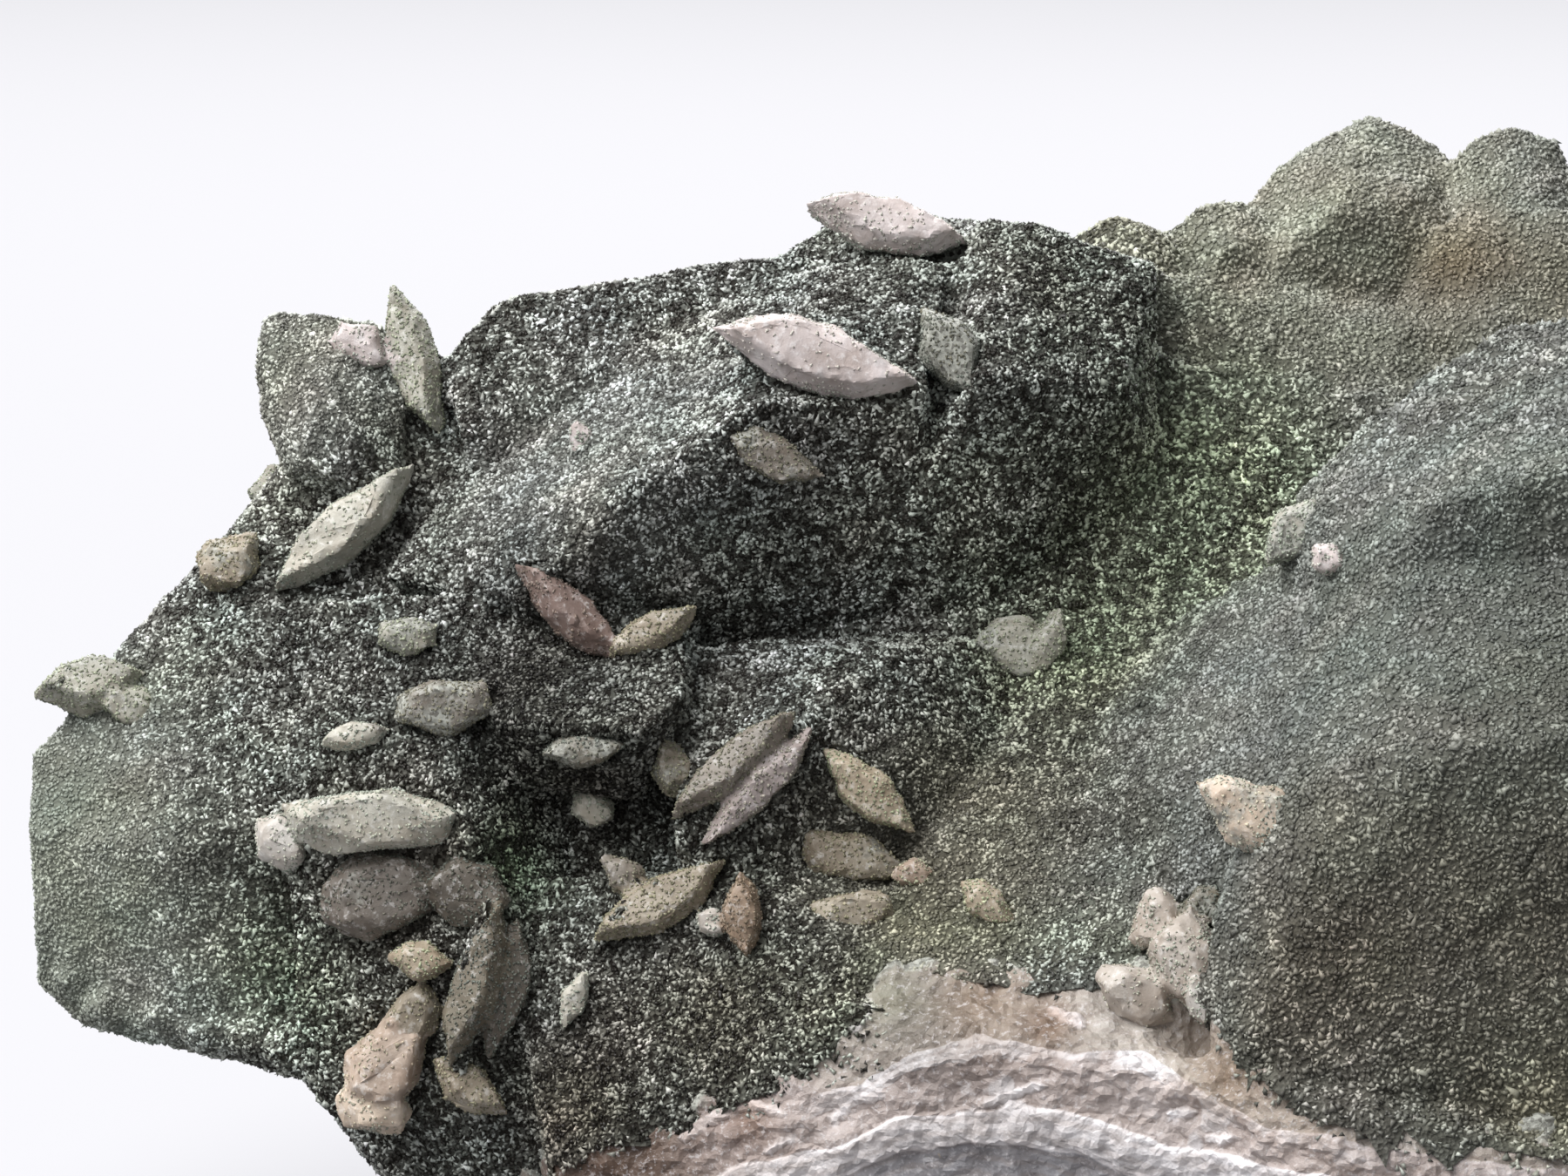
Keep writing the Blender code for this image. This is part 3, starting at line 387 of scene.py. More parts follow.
class StageSettings(bpy.types.PropertyGroup):
    """Light of the studio."""

    key: light("Top light", "Power of the softbox above, in watts", 1.95)
    fill: light("Front light", "Power of the weak light in front, in watts", 0.12)
    back: light("Back light", "Power of the light behind, in watts", 1.2)
    sky: light("Room light", "Strength of the light from all round", 0.30)


def place(across, up, deep):
    """Places of the front view in the part's own frame, in metres; takes arrays too."""
    across, up, deep = np.broadcast_arrays(*(np.asarray(v, float) for v in (across, up, deep)))
    spread = 1.0 + deep / EYE_DISTANCE
    across = EYE_ACROSS + (across - EYE_ACROSS) * spread
    up = EYE_UP + (up - EYE_UP) * spread
    point = across[..., None] * ACROSS + up[..., None] * UP + deep[..., None] * DEEP
    return (point - np.array(FOOT_MIDDLE)) * MM


def eye_place():
    return Vector(place(EYE_ACROSS, EYE_UP, -EYE_DISTANCE))


def seen(points):
    """Across, up and deep of points given in the part's own frame."""
    points = points / MM + np.array(FOOT_MIDDLE)
    deep = points @ DEEP
    spread = 1.0 + deep / EYE_DISTANCE
    across = EYE_ACROSS + (points @ ACROSS - EYE_ACROSS) / spread
    up = EYE_UP + (points @ UP - EYE_UP) / spread
    return across, up, deep


def noise_at(points, size, octaves):
    """Smooth noise about 0, read at points, with features of that size in metres."""
    return np.array([noise.fractal(p, 1.0, 2.0, octaves) for p in points / size])


def ease(low, high, numbers):
    """0 below low, 1 above high and smooth between them."""
    share = np.clip((numbers - low) / (high - low), 0.0, 1.0)
    return share * share * (3.0 - 2.0 * share)


def edge_height(across, edge):
    return np.interp(across, [spot[0] for spot in edge], [spot[1] for spot in edge])


def front_share(points):
    """1 on the rim that the front view shows and 0 on the hidden sides."""
    across, _, deep = seen(points)
    return ease(3.0, -1.0, deep) * ease(50.0, 46.0, across)


def bareness(points):
    """How far below the coat's border a point is, in millimetres: above 0 the coat is missing."""
    across, up, _ = seen(points)
    front = front_share(points)
    wave = noise_at(points, 1.8 * MM, 4) * (0.75 - 0.4 * front)
    in_front = edge_height(across, COAT_BORDER) - up
    hidden = HIDDEN_BORDER - points[:, 2] / MM
    return in_front * front + hidden * (1.0 - front) + wave


def strata_of(points):
    """The layer of the rim that a point lies in: 0 at the top of the lower ledge, 1 at the foot of the
    upper one and 2 at its top."""
    across, up, _ = seen(points)
    front = front_share(points)
    low, high = (edge_height(across, edge) * front + hidden * (1.0 - front)
                 for edge, hidden in zip((LOWER_LEDGE, UPPER_LEDGE), HIDDEN_LEDGES))
    height = up * front + points[:, 2] / MM * (1.0 - front) + noise_at(points, 2.2 * MM, 4) * 0.32
    lower, upper = LEDGE_HEIGHTS
    band = (height - low) / np.maximum(high - upper - low, 0.2)
    return np.where(height < low, (height - low) / lower,
                    np.where(height < high - upper, band, 1.0 + (height - high + upper) / upper))


def streaks_of(points):
    """1 on the white streaks of the rim and 0 off them."""
    across, up, _ = seen(points)
    spots = np.stack([across, up], axis=1) + noise_at(points, 0.5 * MM, 3)[:, None] * 0.12
    share = np.zeros(len(points))
    for line, width in STREAKS:
        for start, end in zip(np.array(line[:-1]), np.array(line[1:])):
            along = end - start
            part = np.clip((spots - start) @ along / (along @ along), 0.0, 1.0)
            far = np.linalg.norm(spots - start - part[:, None] * along, axis=1)
            share = np.maximum(share, ease(width, width * 0.7, far))
    return share * front_share(points)


def rim_shade_of(points):
    """Colour that multiplies the rim at each point."""
    across, up, _ = seen(points)
    shade = np.ones((len(points), 3))
    for at, height, radius, colour_here in RIM_SPOTS:
        far = np.hypot(across - at, up - height) / radius
        shade *= 1.0 + (np.array(colour_here) - 1.0) * (np.exp(-far * far) * front_share(points))[:, None]
    return shade


def away_from(points, spot, radius):
    """How far points are from a spot of the front view, with the radius as 1."""
    return np.linalg.norm(points - place(*spot), axis=1) / (radius * MM)


def tint_and_painted_light_of(points):
    """Colour that multiplies the grains at each point: the coat's own tints and the painted light and
    painted shade of the patches.
    """
    tint_and_painted_light = np.ones((len(points), 3))
    across, up, _ = seen(points)
    above = up - edge_height(across, COAT_BORDER)
    pale = np.exp(-((above - PALE_BAND_MIDDLE) / PALE_BAND_WIDTH) ** 2) * front_share(points)
    pale = pale * ease(20.0, 24.0, across) * ease(34.5, 32.0, across)
    tint_and_painted_light *= 1.0 + pale[:, None] * np.array(PALE_BAND_TINT)
    for *spot, radius, shade in TINT_AND_PAINTED_LIGHT_PATCHES:
        far = away_from(points, spot, radius)
        tint_and_painted_light *= 1.0 + (np.array(shade) - 1.0) * np.exp(-far * far)[:, None]
    tint_and_painted_light *= 1.0 + 0.28 * noise_at(points, 3.0 * MM, 3)[:, None]
    tint_and_painted_light[:, 0] *= 1.0 - 0.06 * noise_at(points + 0.5, 2.0 * MM, 2)
    tint_and_painted_light[:, 2] *= 1.0 - 0.05 * noise_at(points + 0.9, 2.6 * MM, 2)
    return np.clip(tint_and_painted_light, 0.2, 2.2)


def evenness_of(points):
    """How near the grains are to one tone at each point, from 0 to 1."""
    even = np.full(len(points), EVEN_EVERYWHERE)
    for *spot, radius, near in EVEN_PATCHES:
        even = np.maximum(even, near * np.exp(-away_from(points, spot, radius) ** 4))
    return even


def new_object(name, mesh):
    item = bpy.data.objects.new(name, mesh)
    bpy.context.scene.collection.objects.link(item)
    return item


def copy_of_solid(name):
    item = new_object(name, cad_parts[CLUSTER].data.copy())
    item.data.materials.clear()
    return item


def mesh_from(name, points, faces):
    """A mesh from an array of points and an array of faces that all have as many corners."""
    mesh = bpy.data.meshes.new(name)
    count, corners = faces.shape
    mesh.vertices.add(len(points))
    mesh.loops.add(count * corners)
    mesh.loops.foreach_set("vertex_index", faces.astype(np.int32).ravel())
    mesh.polygons.add(count)
    mesh.polygons.foreach_set("loop_start", np.arange(0, count * corners, corners, dtype=np.int32))
    put_points(mesh, points)
    mesh.update(calc_edges=True)
    return mesh


def points_of(mesh):
    points = np.empty(len(mesh.vertices) * 3, np.float32)
    mesh.vertices.foreach_get("co", points)
    return points.reshape(-1, 3).astype(float)


def normals_of(mesh):
    normals = np.empty(len(mesh.vertices) * 3, np.float32)
    mesh.vertex_normals.foreach_get("vector", normals)
    return normals.reshape(-1, 3).astype(float)


def put_points(mesh, points):
    """Writes the points, kept inside the box of the solid."""
    low, high = (np.array(corner) for corner in CAD_BOX)
    mesh.vertices.foreach_set("co", np.clip(points, low, high).astype(np.float32).ravel())
    mesh.update()


def read_number(mesh, name):
    numbers = np.empty(len(mesh.vertices), np.float32)
    mesh.attributes[name].data.foreach_get("value", numbers)
    return numbers


def add_number(mesh, name, numbers):
    layer = mesh.attributes.new(name, "FLOAT", "POINT")
    layer.data.foreach_set("value", numbers.astype(np.float32))


def add_colour(mesh, name, colours):
    layer = mesh.attributes.new(name, "FLOAT_COLOR", "POINT")
    padded = np.concatenate([colours, np.ones((len(colours), 1))], axis=1)
    layer.data.foreach_set("color", padded.astype(np.float32).ravel())


def apply_modifiers(item):
    view = bpy.context.evaluated_depsgraph_get()
    mesh = bpy.data.meshes.new_from_object(item.evaluated_get(view))
    item.modifiers.clear()
    item.data = mesh


def edge_ends(mesh):
    """The numbers of the first points of all edges, and those of their second points."""
    ends = np.empty(len(mesh.edges) * 2, np.int32)
    mesh.edges.foreach_get("vertices", ends)
    return ends.reshape(-1, 2).T


def pull_in_spikes(mesh, height):
    """Levels the points that stand out of their neighbours by more than that height."""
    first, second = edge_ends(mesh)
    points = points_of(mesh)
    near = np.zeros_like(points)
    np.add.at(near, first, points[second])
    np.add.at(near, second, points[first])
    ends = np.concatenate([first, second])
    near /= np.maximum(np.bincount(ends, minlength=len(points)), 1)[:, None]
    spikes = ((points - near) * normals_of(mesh)).sum(axis=1) > height
    points[spikes] = near[spikes]
    put_points(mesh, points)


def surface_tree(item):
    """An object's surface, ready to be met by rays."""
    return BVHTree.FromObject(item, bpy.context.evaluated_depsgraph_get())


def gap_to(surface, points):
    """How far each point is from a surface, in millimetres."""
    return np.array([surface.find_nearest(Vector(point))[3] for point in points]) / MM


def frame_of(turn, dip, lean):
    """The directions of a blade's length, width and thickness, from its angles in degrees."""
    turn = math.radians(turn)
    dip = math.radians(dip)
    along = (ACROSS * math.cos(turn) + UP * math.sin(turn)) * math.cos(dip) + DEEP * math.sin(dip)
    wide = UP * math.cos(turn) - ACROSS * math.sin(turn)
    thick = np.cross(along, wide)
    spin = np.array(Matrix.Rotation(math.radians(lean), 3, Vector(along)))
    return np.array((along, spin @ wide, spin @ thick))


def hidden_growth(surface, row):
    """The middle and the directions of a blade that lies on a hidden side."""
    round_angle, rise, _, _, thickness, turn, _, _ = row
    round_angle = math.radians(round_angle)
    rise = math.radians(rise)
    way = Vector((math.cos(round_angle), math.sin(round_angle), 0.0)) * math.cos(rise)
    way.z = math.sin(rise)
    hit, normal, _, _ = surface.ray_cast(Vector(HIDDEN_MIDDLE) + way * OUTSIDE, -way)
    level = normal.cross(Vector((0.0, 0.0, 1.0))).normalized()
    along = Matrix.Rotation(math.radians(turn), 3, normal) @ level
    return np.array(hit - normal * thickness * MM / 2.0), np.array((along, normal.cross(along), normal))


def all_growths():
    """Every blade and lump: its middle, its directions, its size, whether it is a blade, tone and dust."""
    found = [(place(*row[:3]), frame_of(*row[6:9]), row[3:6], True, row[9], row[10]) for row in BLADES]
    found += [(place(*row[:3]), frame_of(row[6], 0, 0), row[3:6], False, row[7], row[8]) for row in LUMPS]
    solid = SURFACES["solid"]
    found += [(*hidden_growth(solid, row), row[2:5], True, row[6], row[7]) for row in HIDDEN_BLADES]
    return found


def growth_reach(points, growths):
    """How far out a point lies in the nearest blade or lump, 1 on its edge, and that one's number."""
    nearest = np.full(len(points), 9.0)
    number = np.zeros(len(points), int)
    for index, (middle, axes, size, _, _, _) in enumerate(growths):
        local = (points - middle) @ axes.T / MM
        far = np.sqrt(((local / (np.array(size) / 2.0)) ** 2).sum(axis=1))
        number = np.where(far < nearest, index, number)
        nearest = np.minimum(nearest, far)
    return nearest, number


def growth_looks(number):
    """The tones of the blades and lumps with these numbers, and how much dust lies on them."""
    tones = np.array([TONES[growth[4]] for growth in GROWTHS])
    dust = np.array([growth[5] for growth in GROWTHS])
    return tones[number], dust[number]


def buried(points, surface):
    """Whether each point lies well under a surface."""
    under = np.zeros(len(points), bool)
    for index, point in enumerate(points):
        spot, normal, _, far = surface.find_nearest(Vector(point))
        under[index] = far > BURIED_DEPTH * MM and (Vector(point) - spot).dot(normal) < 0.0
    return under


def even_mesh(item, voxel, softness):
    """Gives an object an even mesh of squares of that size, smoothed that many times."""
    step = item.modifiers.new("even mesh", "REMESH")
    step.mode = "VOXEL"
    step.voxel_size = voxel
    soften = item.modifiers.new("soften", "SMOOTH")
    soften.factor = 0.5
    soften.iterations = softness
    apply_modifiers(item)


def thin_out(item, share):
    """Leaves about this share of an object's triangles, most of them where the shape bends."""
    step = item.modifiers.new("thin out", "DECIMATE")
    step.ratio = share
    apply_modifiers(item)


def keep_faces(item, kept):
    """Leaves only the faces that have a corner where kept is true."""
    bm = bmesh.new()
    bm.from_mesh(item.data)
    spare = [f for f in bm.faces if not any(kept[v.index] for v in f.verts)]
    bmesh.ops.delete(bm, geom=spare, context="FACES")
    bm.to_mesh(item.data)
    bm.free()


def finish_piece(item, name, material):
    """Names a piece, dresses it and sets it on the body in place of the solid."""
    item.name = name
    item.data.name = name
    item.data.materials.append(material)
    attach(item, BODY)
    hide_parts(CLUSTER)


class Nodes:
    """Short ways to place and join the nodes of one tree."""

    def __init__(self, tree):
        self.tree = tree

    def add(self, kind, **values):
        node = self.tree.nodes.new("ShaderNode" + kind)
        for name, setting in values.items():
            setattr(node, name, setting)
        return node

    def link(self, source, target):
        self.tree.links.new(source, target)

    def give(self, socket, setting):
        """Links a socket, or sets its value; a colour of three parts gets an alpha of 1."""
        if isinstance(setting, bpy.types.NodeSocket):
            self.link(setting, socket)
        elif isinstance(setting, (int, float)):
            socket.default_value = setting
        else:
            socket.default_value = (*setting, 1.0)[:4]

    def set(self, node, **values):
        for name, setting in values.items():
            self.give(node.inputs[name.replace("_", " ")], setting)
        return node

    def math(self, operation, first, second=0.0, clamped=False):
        node = self.add("Math", operation=operation, use_clamp=clamped)
        self.give(node.inputs[0], first)
        self.give(node.inputs[1], second)
        return node.outputs[0]

    def times(self, first, second, clamped=False):
        return self.math("MULTIPLY", first, second, clamped)

    def plus(self, first, second, clamped=False):
        return self.math("ADD", first, second, clamped)

    def mix(self, share, first, second, blend="MIX"):
        node = self.add("Mix", data_type="RGBA", blend_type=blend)
        for number, setting in zip((0, 6, 7), (share, first, second)):
            self.give(node.inputs[number], setting)
        return node.outputs[2]

    def ramp(self, share, *stops):
        node = self.add("ValToRGB")
        while len(node.color_ramp.elements) < len(stops):
            node.color_ramp.elements.new(0.5)
        for element, (at, shade) in zip(node.color_ramp.elements, stops):
            element.position = at
            element.color = (*shade, 1.0)
        self.link(share, node.inputs[0])
        return node.outputs[0]

    def cut(self, share, low, high):
        """0 below low and 1 above high."""
        node = self.add("MapRange")
        self.set(node, Value=share, From_Min=low, From_Max=high)
        return node.outputs[0]

    def cloud(self, scale, detail, roughness):
        node = self.add("TexNoise")
        self.set(node, Vector=self.place(), Scale=scale, Detail=detail, Roughness=roughness)
        return node.outputs["Fac"]

    def specks(self):
        return self.set(self.add("TexVoronoi"), Vector=self.place(), Scale=SPECK_SCALE)

    def attribute(self, name, output="Fac"):
        return self.add("Attribute", attribute_name=name).outputs[output]

    def place(self):
        return self.add("TexCoord").outputs["Object"]

    def bump(self, shader, height, strength, distance):
        node = self.add("Bump")
        self.set(node, Height=height, Strength=strength, Distance=distance)
        self.link(node.outputs[0], shader.inputs["Normal"])


def group(name, inputs, outputs):
    """An empty node group with these sockets, its nodes and its inner ends."""
    tree = bpy.data.node_groups.new(name, "ShaderNodeTree")
    for label, kind, default in inputs:
        socket = tree.interface.new_socket(name=label, in_out="INPUT", socket_type=kind)
        socket.default_value = default
    for label, kind in outputs:
        tree.interface.new_socket(name=label, in_out="OUTPUT", socket_type=kind)
    return tree, Nodes(tree), tree.nodes.new("NodeGroupInput"), tree.nodes.new("NodeGroupOutput")


def mottle_group():
    """Cloudy mineral colour: two colours and pale flecks, with a height for the bump."""
    tree, nodes, start, end = group(
        "mineral mottle",
        [("Base", "NodeSocketColor", (0.4, 0.3, 0.2, 1.0)),
         ("Shade", "NodeSocketColor", (0.2, 0.15, 0.1, 1.0)),
         ("Fleck", "NodeSocketColor", (0.7, 0.65, 0.6, 1.0)),
         ("Scale", "NodeSocketFloat", 900.0),
         ("Flecks", "NodeSocketFloat", 0.3)],
        [("Color", "NodeSocketColor"), ("Height", "NodeSocketFloat"), ("Roughness", "NodeSocketFloat")],
    )
    scale = start.outputs["Scale"]
    cloud = nodes.cloud(scale, 6.0, 0.62)
    fine = nodes.cloud(nodes.times(scale, 4.0), 4.0, 0.7)
    body = nodes.mix(nodes.cut(cloud, 0.36, 0.62), start.outputs["Shade"], start.outputs["Base"])
    share = nodes.times(nodes.cut(fine, 0.55, 0.64), start.outputs["Flecks"])
    nodes.link(nodes.mix(share, body, start.outputs["Fleck"]), end.inputs["Color"])
    nodes.link(nodes.plus(cloud, nodes.times(fine, 0.6)), end.inputs["Height"])
    nodes.link(nodes.plus(0.35, nodes.times(fine, 0.35)), end.inputs["Roughness"])
    return tree


def dust_group():
    """Chlorite dust: where it lies and its own speckled colour."""
    tree, nodes, start, end = group(
        "chlorite dust",
        [("Color", "NodeSocketColor", (0.5, 0.5, 0.5, 1.0)), ("Amount", "NodeSocketFloat", 0.3)],
        [("Color", "NodeSocketColor"), ("Mask", "NodeSocketFloat")],
    )
    speck = nodes.specks()
    tone = nodes.ramp(speck.outputs["Color"], (0.2, (0.14, 0.137, 0.118)), (0.7, (0.38, 0.385, 0.34)))
    low = nodes.math("SUBTRACT", 0.80, nodes.times(start.outputs["Amount"], 0.55))
    cover = nodes.times(nodes.math("SUBTRACT", nodes.cloud(700.0, 5.0, 0.65), low), 7.0, True)
    nodes.link(nodes.mix(cover, start.outputs["Color"], tone), end.inputs["Color"])
    nodes.link(cover, end.inputs["Mask"])
    return tree


def blank_material(name):
    material = bpy.data.materials.new(name)
    material.use_nodes = True
    nodes = Nodes(material.node_tree)
    return material, nodes, material.node_tree.nodes["Principled BSDF"]


def placed(nodes, tree, **values):
    return nodes.set(nodes.add("Group", node_tree=tree), **values)


def grain_material(coat):
    """The grains: each has its own tone, tinted and given painted light and shade by where it grows; the
    whitest few are painted glints.
    """
    material, nodes, shader = blank_material("chlorite grains")
    # The ramp's white end gives the few brightest grains as painted glints
    own = nodes.ramp(nodes.attribute("grain"), (0.0, coat.dark), (0.24, coat.dark), (0.40, coat.middle),
                     (0.56, coat.middle), (0.76, coat.light), (0.97, coat.light), (1.0, coat.painted_glint))
    mean = [0.25 * d + 0.45 * m + 0.30 * l for d, m, l in zip(coat.dark, coat.middle, coat.light)]
    share = nodes.times(nodes.attribute("even"), 0.80)
    tone = nodes.mix(share, own, mean)
    shade = nodes.mix(1.0, tone, nodes.attribute("tint_and_painted_light", "Color"), "MULTIPLY")
    nodes.set(shader, Base_Color=shade, Roughness=0.40, Specular_IOR_Level=0.30)
    return material


def skin_material(coat):
    """The dark skin that shows between the grains; its darkness is partly painted shade of the gaps."""
    material, nodes, shader = blank_material("chlorite skin")
    speck = nodes.specks()
    # Painted shade: the skin's darkest tone, below the darkest grains, stands in for the shaded gaps between
    # the grains
    dark = [part * 0.7 for part in coat.dark]
    middle = [part * 0.8 for part in coat.middle]
    tone = nodes.ramp(speck.outputs["Color"], (0.35, dark), (0.95, middle))
    tone = nodes.mix(nodes.times(nodes.attribute("even"), 0.9), tone, middle)
    shade = nodes.mix(1.0, tone, nodes.attribute("tint_and_painted_light", "Color"), "MULTIPLY")
    nodes.set(shader, Base_Color=shade, Roughness=0.8, Specular_IOR_Level=0.1)
    nodes.bump(shader, speck.outputs["Distance"], 0.8, 0.08 * MM)
    return material


def blade_material(groups):
    """Tan to pinkish blades, mottled, with chlorite dust lying on them."""
    material, nodes, shader = blank_material("tan blades")
    own = nodes.attribute("tone", "Color")
    shade = nodes.mix(1.0, own, (0.74, 0.69, 0.65), "MULTIPLY")
    pale = nodes.mix(0.5, own, (0.82, 0.80, 0.78))
    body = placed(nodes, groups["mottle"], Base=own, Shade=shade, Fleck=pale, Scale=1000.0, Flecks=0.6)
    dusted = placed(nodes, groups["dust"], Color=body.outputs["Color"], Amount=nodes.attribute("dust"))
    nodes.set(shader, Base_Color=dusted.outputs["Color"], Roughness=body.outputs["Roughness"])
    nodes.bump(shader, body.outputs["Height"], 0.6, 0.06 * MM)
    return material


def layer_place(height):
    """A height among the rim's layers as a share from 0 to 1, as the material reads it."""
    return (height + LAYER_SHIFT) / LAYER_SPAN


def rim_material(rim, groups):
    """The broken rim: quartz below, a chalky ledge, a mauve band, a second ledge and a tan band."""
    material, nodes, shader = blank_material("broken rim")
    layer = nodes.math("DIVIDE", nodes.plus(nodes.attribute("strata"), LAYER_SHIFT), LAYER_SPAN)
    mauve = nodes.mix(nodes.attribute("brown"), rim.mauve, rim.brown)
    chips = nodes.cut(nodes.cloud(520.0, 3.0, 0.5), 0.60, 0.63)
    crisp = [min(1.0, part * 1.3) for part in rim.white]
    chips = nodes.times(chips, nodes.math("SUBTRACT", 0.75, nodes.attribute("brown"), True))
    mauve = nodes.mix(chips, mauve, rim.white)
    mauve = nodes.mix(nodes.attribute("streak"), mauve, crisp)
    patchy = nodes.cut(nodes.cloud(420.0, 3.0, 0.5), 0.42, 0.50)
    upper = nodes.mix(nodes.attribute("left"), nodes.mix(patchy, mauve, rim.white), mauve)
    upper = nodes.mix(nodes.times(nodes.attribute("right"), 0.75), upper, mauve)
    tan = nodes.mix(nodes.attribute("left"), rim.tan, mauve)
    tan = nodes.mix(nodes.attribute("streak"), tan, crisp)
    dim = [part * 0.85 for part in rim.white]
    colour_here = rim.core
    layers = ((LEDGE_FOOT, crisp), (-0.96, dim), (-0.82, rim.white), (-0.10, crisp), (0.0, mauve),
              (1.0, upper), (2.0, tan))
    for height, shade in layers:
        edge = layer_place(height)
        colour_here = nodes.mix(nodes.cut(layer, edge - 0.003, edge + 0.003), colour_here, shade)
    wander = nodes.times(nodes.cloud(350.0, 4.0, 0.6), 11.0)
    waves = nodes.plus(nodes.times(nodes.attribute("strata"), 13.0), wander)
    lines = nodes.times(nodes.cut(nodes.math("SINE", waves), 0.1, 0.7), 0.30)
    colour_here = nodes.mix(lines, colour_here, nodes.mix(0.5, mauve, rim.brown))
    colour_here = nodes.mix(1.0, colour_here, nodes.attribute("shade", "Color"), "MULTIPLY")
    shaded = nodes.mix(1.0, colour_here, (0.74, 0.71, 0.69), "MULTIPLY")
    body = placed(nodes, groups["mottle"], Base=colour_here, Shade=shaded, Fleck=rim.white, Scale=1500.0,
                  Flecks=0.45)
    near = nodes.math("SUBTRACT", 0.8, nodes.times(nodes.attribute("bare"), 0.9), True)
    dusted = placed(nodes, groups["dust"], Color=body.outputs["Color"], Amount=near)
    foot = layer_place(LEDGE_FOOT)
    glassy = nodes.cut(layer, foot - 0.004, foot + 0.004)
    rough = nodes.times(body.outputs["Roughness"], nodes.plus(0.45, glassy, True))
    nodes.set(shader, Base_Color=dusted.outputs["Color"], Roughness=rough)
    nodes.bump(shader, body.outputs["Height"], 0.8, 0.07 * MM)
    return material


def blade_corners(size, chance):
    """Corners of a flat blade with two pointed ends, along X, with its broad faces across Z."""
    half = np.array(size) / 2.0
    corners = []
    for forward, sideways in BLADE_OUTLINE:
        forward *= chance.uniform(0.90, 1.04)
        sideways *= chance.uniform(0.80, 1.08)
        corners.append((forward, sideways, chance.uniform(-0.2, 0.2)))
        for side in (-1.0, 1.0):
            corners.append((forward * 0.80, sideways * 0.70, side * chance.uniform(0.8, 1.0)))
    return np.array(corners) * half


def lump_corners(size, chance):
    """Corners of a rough lump with flat broken faces."""
    half = np.array(size) / 2.0
    corners = []
    for level in LUMP_LEVELS:
        for number in range(LUMP_SIDES):
            angle = math.tau * (number + chance.random() * 0.7) / LUMP_SIDES
            reach = math.sqrt(1.0 - level * level) * chance.uniform(0.82, 1.08)
            corners.append((math.cos(angle) * reach, math.sin(angle) * reach,
                            level * chance.uniform(0.85, 1.15)))
    return np.array(corners) * half


def growth_hulls(growths, swell, chance):
    """One mesh of all the blades and lumps, each a convex crystal."""
    whole = bmesh.new()
    for middle, axes, size, is_blade, _, _ in growths:
        grown = [part + swell for part in size]
        local = (blade_corners if is_blade else lump_corners)(grown, chance)
        made = [whole.verts.new(corner) for corner in middle + local @ axes * MM]
        found = bmesh.ops.convex_hull(whole, input=made)
        spare = [v for v in found["geom_interior"] if isinstance(v, bmesh.types.BMVert)]
        bmesh.ops.delete(whole, geom=spare, context="VERTS")
    mesh = bpy.data.meshes.new("growths")
    whole.to_mesh(mesh)
    whole.free()
    return mesh


def triangles_of(mesh):
    mesh.calc_loop_triangles()
    corners = np.empty(len(mesh.loop_triangles) * 3, np.int32)
    mesh.loop_triangles.foreach_get("vertices", corners)
    return corners.reshape(-1, 3)


def spots_on(mesh, chance, gap, weights):
    """Evenly scattered places on a mesh, about gap apart, with the surface's direction there."""
    triangles = triangles_of(mesh)
    corners = points_of(mesh)[triangles]
    cross = np.cross(corners[:, 1] - corners[:, 0], corners[:, 2] - corners[:, 0])
    double = np.maximum(np.linalg.norm(cross, axis=1), 1e-30)
    area = double / 2.0 * weights[triangles].mean(axis=1)
    count = int(area.sum() / gap ** 2 * SPOTS_TRIED)
    chosen = chance.choice(len(area), count, p=area / area.sum())
    first, second = chance.random(count), chance.random(count)
    over = first + second > 1.0
    first[over], second[over] = 1.0 - first[over], 1.0 - second[over]
    a, b, c = (corners[chosen, i] for i in range(3))
    places = a + (b - a) * first[:, None] + (c - a) * second[:, None]
    cell = np.floor(places / (gap * CELL_WIDTH)).astype(np.int64)
    key = np.bitwise_xor.reduce(cell * CELL_KEYS, axis=1)
    _, kept = np.unique(key, return_index=True)
    kept.sort()
    return places[kept], cross[chosen[kept]] / double[chosen[kept]][:, None]


def surface_turns(out, chance):
    """Rotation matrices that lay grains along the surface, each its own way."""
    rise = out + chance.normal(size=out.shape) * GRAIN_TILT
    rise /= np.linalg.norm(rise, axis=1)[:, None]
    way = chance.normal(size=out.shape)
    across = np.cross(rise, way)
    across /= np.linalg.norm(across, axis=1)[:, None]
    return np.stack([np.cross(across, rise), across, rise], axis=2)


def grain_piece(name, places, out, size, chance, material, tint_and_painted_light, even, clump=CLUMP, darkest=0.0):
    """One joined mesh of grains that sit on these places."""
    count, corners = len(places), len(SHARD_POINTS)
    scale = size * chance.lognormal(0.0, 0.22, count) * 0.60
    stretch = chance.uniform(0.75, 1.3, (count, 1, 3)) * GRAIN_SHAPE
    local = SHARD_POINTS[None] * stretch * scale[:, None, None]
    middle = places + out * size * 0.10
    points = np.einsum("nij,npj->npi", surface_turns(out, chance), local) + middle[:, None]
    faces = (SHARD_FACES[None] + (np.arange(count) * corners)[:, None, None]).reshape(-1, 3)
    mesh = mesh_from(name, points.reshape(-1, 3), faces)
    order = np.argsort(chance.random(count) + noise_at(places, size * 2.6, 2) * clump)
    own = np.empty(count)
    own[order] = np.linspace(darkest, 1.0, count)
    add_number(mesh, "grain", np.repeat(own, corners))
    add_number(mesh, "even", np.repeat(even, corners))
    add_colour(mesh, "tint_and_painted_light", np.repeat(tint_and_painted_light, corners, axis=0))
    own_map(mesh, count, len(SHARD_FACES))
    finish_piece(new_object(name, mesh), name, material)


